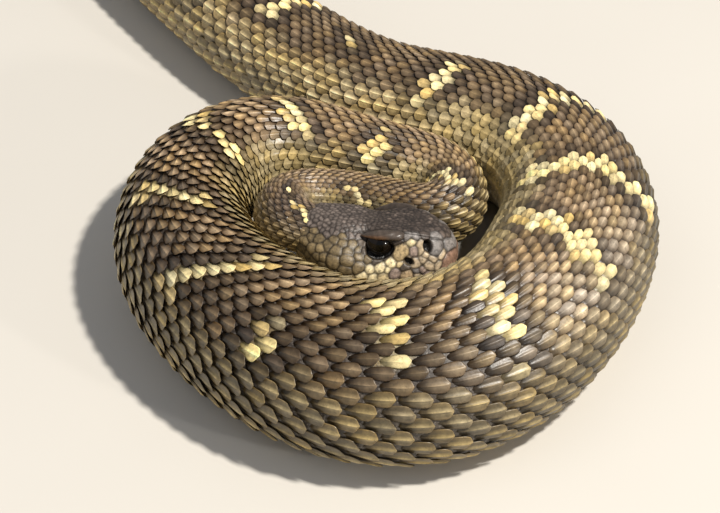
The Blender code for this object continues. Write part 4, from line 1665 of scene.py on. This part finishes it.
@dataclass
class HeadPlates:
    """The head's outer surface: plates parted by grooves, brow lines, nostrils, heat pits and mouth line."""

    rings: int = 236
    cap_rings: int = 12
    first_x: float = -1.6
    last_x: float = 27.2
    mouth_v: float = 5.0
    mouth_wide: float = 0.035
    mouth_deep: float = 0.40
    brow_v: float = 1.93
    brow_wide: float = 0.045
    brow_deep: float = 0.14
    hollow_deep: float = 1.1
    groove_wide: float = 0.13
    groove_crown: float = 0.50
    groove_side: float = 0.22
    side_from: Span = (1.5, 2.2)
    plate_round: float = 0.34
    rise: float = 0.055
    rise_by_size: float = 0.085
    crown_rise: float = 0.66
    map_long: float = 29.5
    outside: Array = field(default_factory=lambda: np.unique(np.concatenate([
        np.linspace(0.0, 7.0, 134), np.array([4.90, 4.95, 4.98, 5.0, 5.02, 5.05, 5.10]),
        np.linspace(1.9, 2.4, 12)])))

    def distances(self) -> Array:
        """Places of the rings along the head, closer together where its outlines turn fast.

        They are even steps of the running length of a curve through the place, face, crown and chin.

        Returns:
            Distances ahead of the joint.
        """
        x = np.linspace(self.first_x, self.last_x, 2400)
        rows = read_spline(HEAD.at, HEAD.rows, HEAD.bend, np.clip(x, 0.0, self.last_x))
        turn = np.gradient(rows[:, [0, 3, 7]], axis=0)
        run = np.sqrt(np.gradient(x) ** 2 + 0.5 * np.sum(turn ** 2, axis=1))
        length = np.cumsum(run)
        return np.interp(np.linspace(length[0], length[-1], self.rings), length, x)

    def base(self, x: Array) -> Array:
        """The head's own surface: its rings at x, then rings that shrink to close the snout.

        Args:
            x: Distances ahead of the joint.

        Returns:
            Points in the head's frame by ring and place.
        """
        half = HEAD.section(np.clip(x, 0.0, self.last_x), self.outside)
        half[..., 0] = x[:, None]
        loop = np.concatenate([half * np.array([1.0, -1.0, 1.0]), half[:, -2:0:-1]], axis=1)
        last = loop[-1]
        middle = last.mean(axis=0) * np.array([1.0, 0.0, 1.0])
        inward = np.linspace(1.0, 0.0, self.cap_rings + 1)[1:-1, None, None]
        cap = middle + (last - middle)[None] * inward
        cap[..., 0] += (SNOUT - last[0, 0]) * (1.0 - inward[..., 0] ** 2)
        return np.concatenate([loop, cap])

    @staticmethod
    def outward(base: Array) -> Array:
        """Unit normals of the surface, the cross product of its two grid ways, turned outwards.

        Args:
            base: Points by ring and place.

        Returns:
            A normal for each point.
        """
        around = np.roll(base, -1, axis=1) - np.roll(base, 1, axis=1)
        normal = np.cross(around, np.gradient(base, axis=0))
        normal /= np.maximum(np.linalg.norm(normal, axis=-1, keepdims=True), 1e-9)
        centre = base.mean(axis=1, keepdims=True) - np.array([1.5, 0.0, 0.0])
        facing = np.sign(np.sum(normal * (base - centre), axis=-1, keepdims=True))
        return normal * np.where(facing == 0.0, 1.0, facing)

    @staticmethod
    def eye_hollow(base: Array) -> tuple[Array, Array]:
        """How far each point lies in the eye's hollow, an upright oval, and on the rim round it.

        Args:
            base: Points in the head's frame.

        Returns:
            Shares of the hollow and of the rim.
        """
        x, y, z = np.moveaxis(base, -1, 0)
        far = np.sqrt(((x - HOLLOW_AT[0]) / HOLLOW_SIZE[0]) ** 2 + ((z - HOLLOW_AT[1]) / HOLLOW_SIZE[1]) ** 2)
        facing = smooth(3.0, 5.0, np.abs(y)) * (z > -3.0) * (1.0 - smooth(2.4, 3.2, z))
        return (1.0 - smooth(0.84, 1.02, far)) * facing, hill(far, 1.08, 0.10) * facing

    def sheet(self) -> Sheet:
        """Displaces the head's own surface by the plates and hollows and colours it plate by plate.

        A plate rises from its border by a quarter circle. The mouth line and the brow line are bells
        across the outline, and the hollows are sunk by their depths. Each plate is painted darker towards its
        border, and the hollows, mouth line and brow line nearly black, as painted shade.

        Returns:
            The head's sheet.
        """
        x = self.distances()
        base = self.base(x)
        shape = base.shape[:2]
        border, size, tint, off = (part.reshape(*shape, *part.shape[1:])
                                   for part in Cells().read(base.reshape(-1, 3)))
        grid_x = base[..., 0]
        v = np.broadcast_to(np.concatenate([self.outside, self.outside[-2:0:-1]]), shape)
        inside = np.clip(border / (self.plate_round * size), 0.0, 1.0)
        down_side = smooth(*self.side_from, v)
        share = self.crown_rise + (1.0 - self.crown_rise) * down_side
        rise = self.rise - 0.005 * down_side + self.rise_by_size * size * share
        mouth = np.exp(-((v - self.mouth_v) / self.mouth_wide) ** 2)
        mouth = mouth * smooth(MOUTH_CORNER - 0.5, MOUTH_CORNER + 1.0, grid_x)
        mouth = mouth * (np.arange(shape[0]) < len(x))[:, None]
        brow = hill(v, self.brow_v, self.brow_wide) * window(grid_x, (7.0, 10.0), (23.0, 25.0))
        sunk, rim = self.eye_hollow(base)
        nostril, pit = NOSTRIL.share(base), PIT.share(base)
        lift = (rise * np.sqrt(1.0 - (1.0 - inside) ** 2) - 0.6 * rise
                - 0.05 * off[..., 0] * smooth(13.0, 6.0, grid_x) + 0.12 * rim
                - self.mouth_deep * mouth - self.brow_deep * brow - self.hollow_deep * sunk
                - NOSTRIL.deep * nostril - PIT.deep * pit)
        points = base + self.outward(base) * lift[..., None]
        points[..., 1:] *= 1.0 - 0.16 * smooth(0.2, -1.6, grid_x)[..., None]
        groove = np.exp(-((np.maximum(border, 0.0) / self.groove_wide) ** 2))
        groove = groove * (self.groove_crown + self.groove_side * down_side)
        # Each plate is painted darker towards its border, painted shade of its dome, and the grooves between
        # take the dark seam colour.
        tone = mix(tint * (0.78 + 0.30 * inside)[..., None], Tint.GROOVE.rgb, groove)
        # Nostrils, heat pits, mouth line, eye hollows and brow line are painted nearly black: painted shade
        # of these deep places.
        dark = np.maximum.reduce([nostril, pit, 0.9 * mouth, sunk, 0.75 * brow])
        along = np.concatenate([0.02 + 0.92 * (x - self.first_x) / self.map_long,
                                np.linspace(0.945, 0.99, self.cap_rings - 1)])
        return closed_tube(HEAD.place(points), mix(tone, Tint.HOLLOW_SHADE.rgb, dark), along)

    def build(self) -> None:
        """Makes the head's plates."""
        finish = ScaleFinish("head_plates", rough=0.45, specks=0.45, mottle=0.40, mottle_per_metre=1500.0,
                             grain_deep=0.00010)
        make_piece("head_plates", self.sheet(), finish.build())


@dataclass
class Brows:
    """The shield over each eye: a slanting leaf, pointed behind, whose outer edge overhangs the eye."""

    rings: int = 46
    around: int = 40
    first: float = 10.0
    last: float = 18.5
    half_wide: float = 1.08
    half_thick: float = 0.50
    slope: float = math.radians(27.0)
    squareness: float = 0.8
    dome: float = 0.24
    wrinkle: float = 0.05

    def sheet(self, side: float) -> Sheet:
        """Rings of a flattened, squarish oval along x, pointed behind, blunt in front and domed on top.

        The top has faint waves, the underside hangs lower towards the skull, and the inner edge is painted
        dark as the shade where it meets the crown.

        Args:
            side: 1 for the left shield and -1 for the right one.

        Returns:
            The shield's sheet.
        """
        u = 0.5 - 0.5 * np.cos(np.linspace(0.05, math.pi - 0.05, self.rings))[:, None]
        end = np.minimum(1.0, u / 0.42) ** 0.70 * np.sqrt(1.0 - np.clip((u - 0.80) / 0.20, 0.0, 1.0) ** 2.2)
        turn = (np.arange(self.around) * 2.0 * math.pi / self.around)[None, :]
        part, high = (np.sign(w) * np.abs(w) ** self.squareness for w in (np.cos(turn), np.sin(turn)))
        top = np.sin(turn) > 0.0
        hang = np.where(np.sin(turn) < 0.0, 1.0 + 1.1 * (1.0 - part), 1.0)
        across = self.half_wide * end * part
        rise = self.half_thick * end * high * hang
        waves = self.wrinkle * np.sin(u * 21.0 + part * 3.0)
        rise = rise + end * top * (self.dome * (1.0 - part ** 2) + waves)
        x = self.first + (self.last - self.first) * u + 0.0 * part
        bow = np.sin(math.pi * u)
        y = 5.30 + 0.90 * bow ** 0.7 + across * math.cos(self.slope) + rise * math.sin(self.slope)
        z = 3.45 + 1.20 * u + 0.50 * bow - across * math.sin(self.slope) + rise * math.cos(self.slope)
        grain = (1.0 + 0.22 * np.sin(u * 34.0 + part * 5.0) * np.sin(u * 13.0 - part * 8.0))[..., None]
        outer_edge = smooth(0.45, 0.95, part) * (1.0 - smooth(0.45, 0.75, u))
        crevice_shade = smooth(0.45, 0.95, -part) * np.ones_like(u)
        ground = mix(Tint.BROW.rgb, Tint.BROW_RIM.rgb, outer_edge) * grain
        # Painted shade along the inner edge, where the shield meets the crown.
        tone = mix(ground, Tint.GROOVE.rgb, 0.4 * crevice_shade)
        points = HEAD.place(np.stack([x, side * y, z], axis=-1))
        return closed_tube(points, tone, np.linspace(0.02, 0.98, self.rings))

    def build(self) -> None:
        """Makes both shields."""
        finish = ScaleFinish("brow_shields", rough=0.34, specks=0.2, mottle=0.22).build()
        for side, label in ((1.0, "left"), (-1.0, "right")):
            make_piece("brow_shield_" + label, self.sheet(side), finish)


@dataclass
class Eyes:
    """Both eyeballs with an upright pupil under the clear scale."""

    around: int = 72
    rows: int = 40
    ceiling: float = 3.8
    pupil_wide: float = 0.30
    pupil_high: float = 0.62

    def sheet(self, side: float) -> Sheet:
        """A ball whose poles face out and in, cut off under the brow.

        The pupil is an upright oval round the outward pole, and streaks turn round it in the iris.

        Args:
            side: 1 for the left eye and -1 for the right one.

        Returns:
            The ball's sheet.
        """
        polar = np.linspace(0.02, math.pi - 0.02, self.rows)[:, None]
        turn = (np.arange(self.around) * 2.0 * math.pi / self.around)[None, :]
        out = np.cos(polar) + 0.0 * turn
        fore = np.sin(polar) * np.cos(turn)
        high = np.sin(polar) * np.sin(turn)
        gaze = unit(np.array([0.22, 1.0, 0.10]))
        front = unit(np.cross(gaze, np.array([0.0, 0.0, 1.0])))
        local = out[..., None] * gaze + fore[..., None] * front + high[..., None] * np.cross(front, gaze)
        points = (np.array(EYE_AT) + local * EYE_RADIUS) * np.array([1.0, side, 1.0])
        points[..., 2] = np.minimum(points[..., 2], self.ceiling)
        far = np.sqrt((fore / self.pupil_wide) ** 2 + (high / self.pupil_high) ** 2)
        pupil = 1.0 - smooth(0.85, 1.05, np.where(out > 0.0, far, FAR))
        streak = 0.5 + 0.5 * np.sin(turn * 23.0 + 4.0 * np.sin(polar * 9.0))
        rim = smooth(0.93, 0.99, np.sin(polar))
        shade = (0.7 + 0.5 * streak) * (1.0 - 0.7 * rim)
        tone = mix(Tint.IRIS.rgb * shade[..., None], Tint.PUPIL.rgb, pupil)
        return closed_tube(HEAD.place(points), tone, np.linspace(0.02, 0.98, self.rows))

    def build(self) -> None:
        """Makes the two eyes in place of the solids' balls."""
        wet = EyeFinish("wet_eye").build()
        for side, label in ((1.0, "left"), (-1.0, "right")):
            made = make_piece("eyeball_" + label, self.sheet(side), wet)
            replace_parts(made, "eye_" + label)


@dataclass
class Rattle:
    """Loose horn segments, flattened from side to side, each lobed with a waist before the next."""

    segments: int = 8
    segment_long: float = 2.55
    high: float = 4.0
    wide: float = 2.3
    rise: float = 0.06
    around: int = 48
    steps: int = 14
    first: float = 0.1
    smaller: float = 0.045
    side_groove: float = 0.30

    def sheet(self) -> Sheet:
        """Rings along the rattle.

        Each segment swells by a flattened half sine, with a ridge before a crease, and pinches to its
        waist. Each is a little smaller than the one before, and a groove runs along both sides.

        Returns:
            The rattle's sheet.
        """
        middle, ahead, left, up, _ = LINE.frame(np.array(LINE.long))
        ahead = unit(ahead + up * self.rise)
        up = np.cross(left, ahead)
        part = np.arange(self.segments * self.steps) / self.steps
        k = np.floor(part)
        t = part - k
        swell = 0.30 * np.sin(math.pi * np.clip(t * 1.05, 0.0, 1.0)) ** 0.55
        fill = 0.70 + swell + 0.05 * hill(t, 0.28, 0.08) - 0.05 * hill(t, 0.55, 0.06)
        fill = fill * (1.0 - self.smaller * k)
        turn = (np.arange(self.around) * 2.0 * math.pi / self.around + math.pi / 2.0)[None, :]
        groove = 1.0 - self.side_groove * np.abs(np.cos(turn)) ** 8
        y = np.cos(turn) * self.wide * fill[:, None] * groove
        z = np.sin(turn) * self.high * fill[:, None]
        along = deep(self.first + part * self.segment_long)
        points = middle + ahead * along + left * y[..., None] + up * z[..., None]
        edge = hill(t, 0.02, 0.07) + hill(t, 0.98, 0.05)
        tone = mix(Tint.HORN.rgb * (1.0 - 0.05 * k[:, None]), Tint.HORN_DARK.rgb, 0.8 * edge)
        tone = tone * (0.85 + 0.25 * hill(t, 0.28, 0.15)[:, None])
        tone = tone[:, None, :] * np.ones((1, self.around, 1))
        return closed_tube(points, tone, np.linspace(0.02, 0.98, len(part)))

    def build(self) -> None:
        """Makes the rattle in place of the solid's plain lobes."""
        horn = ScaleFinish("rattle_horn", rough=0.34, mottle=0.18, grain_per_metre=1800.0, specks=0.2).build()
        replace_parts(make_piece("rattle_horn", self.sheet(), horn), "rattle")


@dataclass(frozen=True)
class Lamp:
    """A soft square light: its place and side in metres, power in watts, colour, and whether it glints."""

    name: str
    at: tuple[float, float, float]
    side: float
    power: float
    colour: tuple[float, float, float]
    glints: bool = True

    def build(self) -> None:
        """Makes the light, facing the coil's zero."""
        data = bpy.data.lights.new(self.name, "AREA")
        data.size = self.side
        data.energy = self.power
        data.color = self.colour
        made = bpy.data.objects.new(self.name, data)
        made.location = self.at
        aim = Vector((COIL_X * MM, COIL_Y * MM, AIM_HIGH)) - Vector(self.at)
        made.rotation_mode = "QUATERNION"
        made.rotation_quaternion = aim.to_track_quat("-Z", "Y")
        made.visible_glossy = self.glints
        bpy.context.scene.collection.objects.link(made)


@dataclass
class Studio:
    """Pale floor, soft lights and the camera at the photograph's place."""

    floor_half: float = 6.0
    floor_dark: tuple[float, float, float] = (0.60, 0.57, 0.52)
    floor_light: tuple[float, float, float] = (0.64, 0.61, 0.56)
    distance: float = 0.900
    elevation: float = math.radians(40.0)
    lens: float = 234.0
    sky: tuple[float, float, float] = (0.90, 0.93, 1.0)
    sky_strength: float = 0.28
    key: Lamp = Lamp("key", (0.62, -0.47, 1.28), 0.10, 29.0, (1.0, 0.95, 0.87))
    glint: Lamp = Lamp("glint", (0.90, -0.86, 0.46), 0.07, 3.0, (1.0, 0.97, 0.93))
    fill: Lamp = Lamp("fill", (-0.8, -0.9, 1.3), 1.4, 4.0, (0.90, 0.95, 1.0), glints=False)

    def floor(self) -> None:
        """A plain pale floor with a faint unevenness of tone."""
        mesh = bpy.data.meshes.new("floor")
        w = self.floor_half
        mesh.from_pydata([(-w, -w, 0.0), (w, -w, 0.0), (w, w, 0.0), (-w, w, 0.0)], [], [(0, 1, 2, 3)])
        made = bpy.data.objects.new("floor", mesh)
        bpy.context.scene.collection.objects.link(made)
        recipe = Recipe("pale_floor")
        ramp = recipe.add("ValToRGB", {"Fac": recipe.noise(14.0)})
        for stop, colour in zip(ramp.color_ramp.elements, (self.floor_dark, self.floor_light)):
            stop.color = (*colour, 1.0)
        recipe.feed(recipe.shader, {"Base Color": ramp.outputs["Color"], "Roughness": 0.8})
        mesh.materials.append(recipe.material)

    def lights(self) -> None:
        """Key light from the upper right, a small low one for glints, a wide fill and an even surround."""
        for lamp in (self.key, self.glint, self.fill):
            lamp.build()
        world = bpy.data.worlds.new("surround")
        world.use_nodes = True
        back = world.node_tree.nodes["Background"]
        back.inputs["Color"].default_value = (*self.sky, 1.0)
        back.inputs["Strength"].default_value = self.sky_strength
        bpy.context.scene.world = world
        bpy.context.scene.view_settings.view_transform = "Standard"

    def camera(self) -> None:
        """The camera looks along +Y and down at the coil's zero, from the photograph's angle."""
        data = bpy.data.cameras.new("camera")
        data.lens = self.lens
        data.sensor_width = 36.0
        data.clip_start = 0.05
        data.clip_end = 30.0
        made = bpy.data.objects.new("camera", data)
        ahead = Vector((0.0, math.cos(self.elevation), -math.sin(self.elevation)))
        made.location = Vector((COIL_X * MM, COIL_Y * MM, 0.0)) - ahead * self.distance
        made.rotation_mode = "QUATERNION"
        made.rotation_quaternion = ahead.to_track_quat("-Z", "Y")
        bpy.context.scene.collection.objects.link(made)
        bpy.context.scene.camera = made

    def build(self) -> None:
        """Makes floor, lights and camera."""
        self.floor()
        self.lights()
        self.camera()


def main() -> None:
    """Builds every piece in order."""
    for group in (Skin(), DorsalScales(), BellyScutes(), HeadPlates(), Brows(), Eyes(), Rattle(), Studio()):
        group.build()


if __name__ == "__main__":
    main()
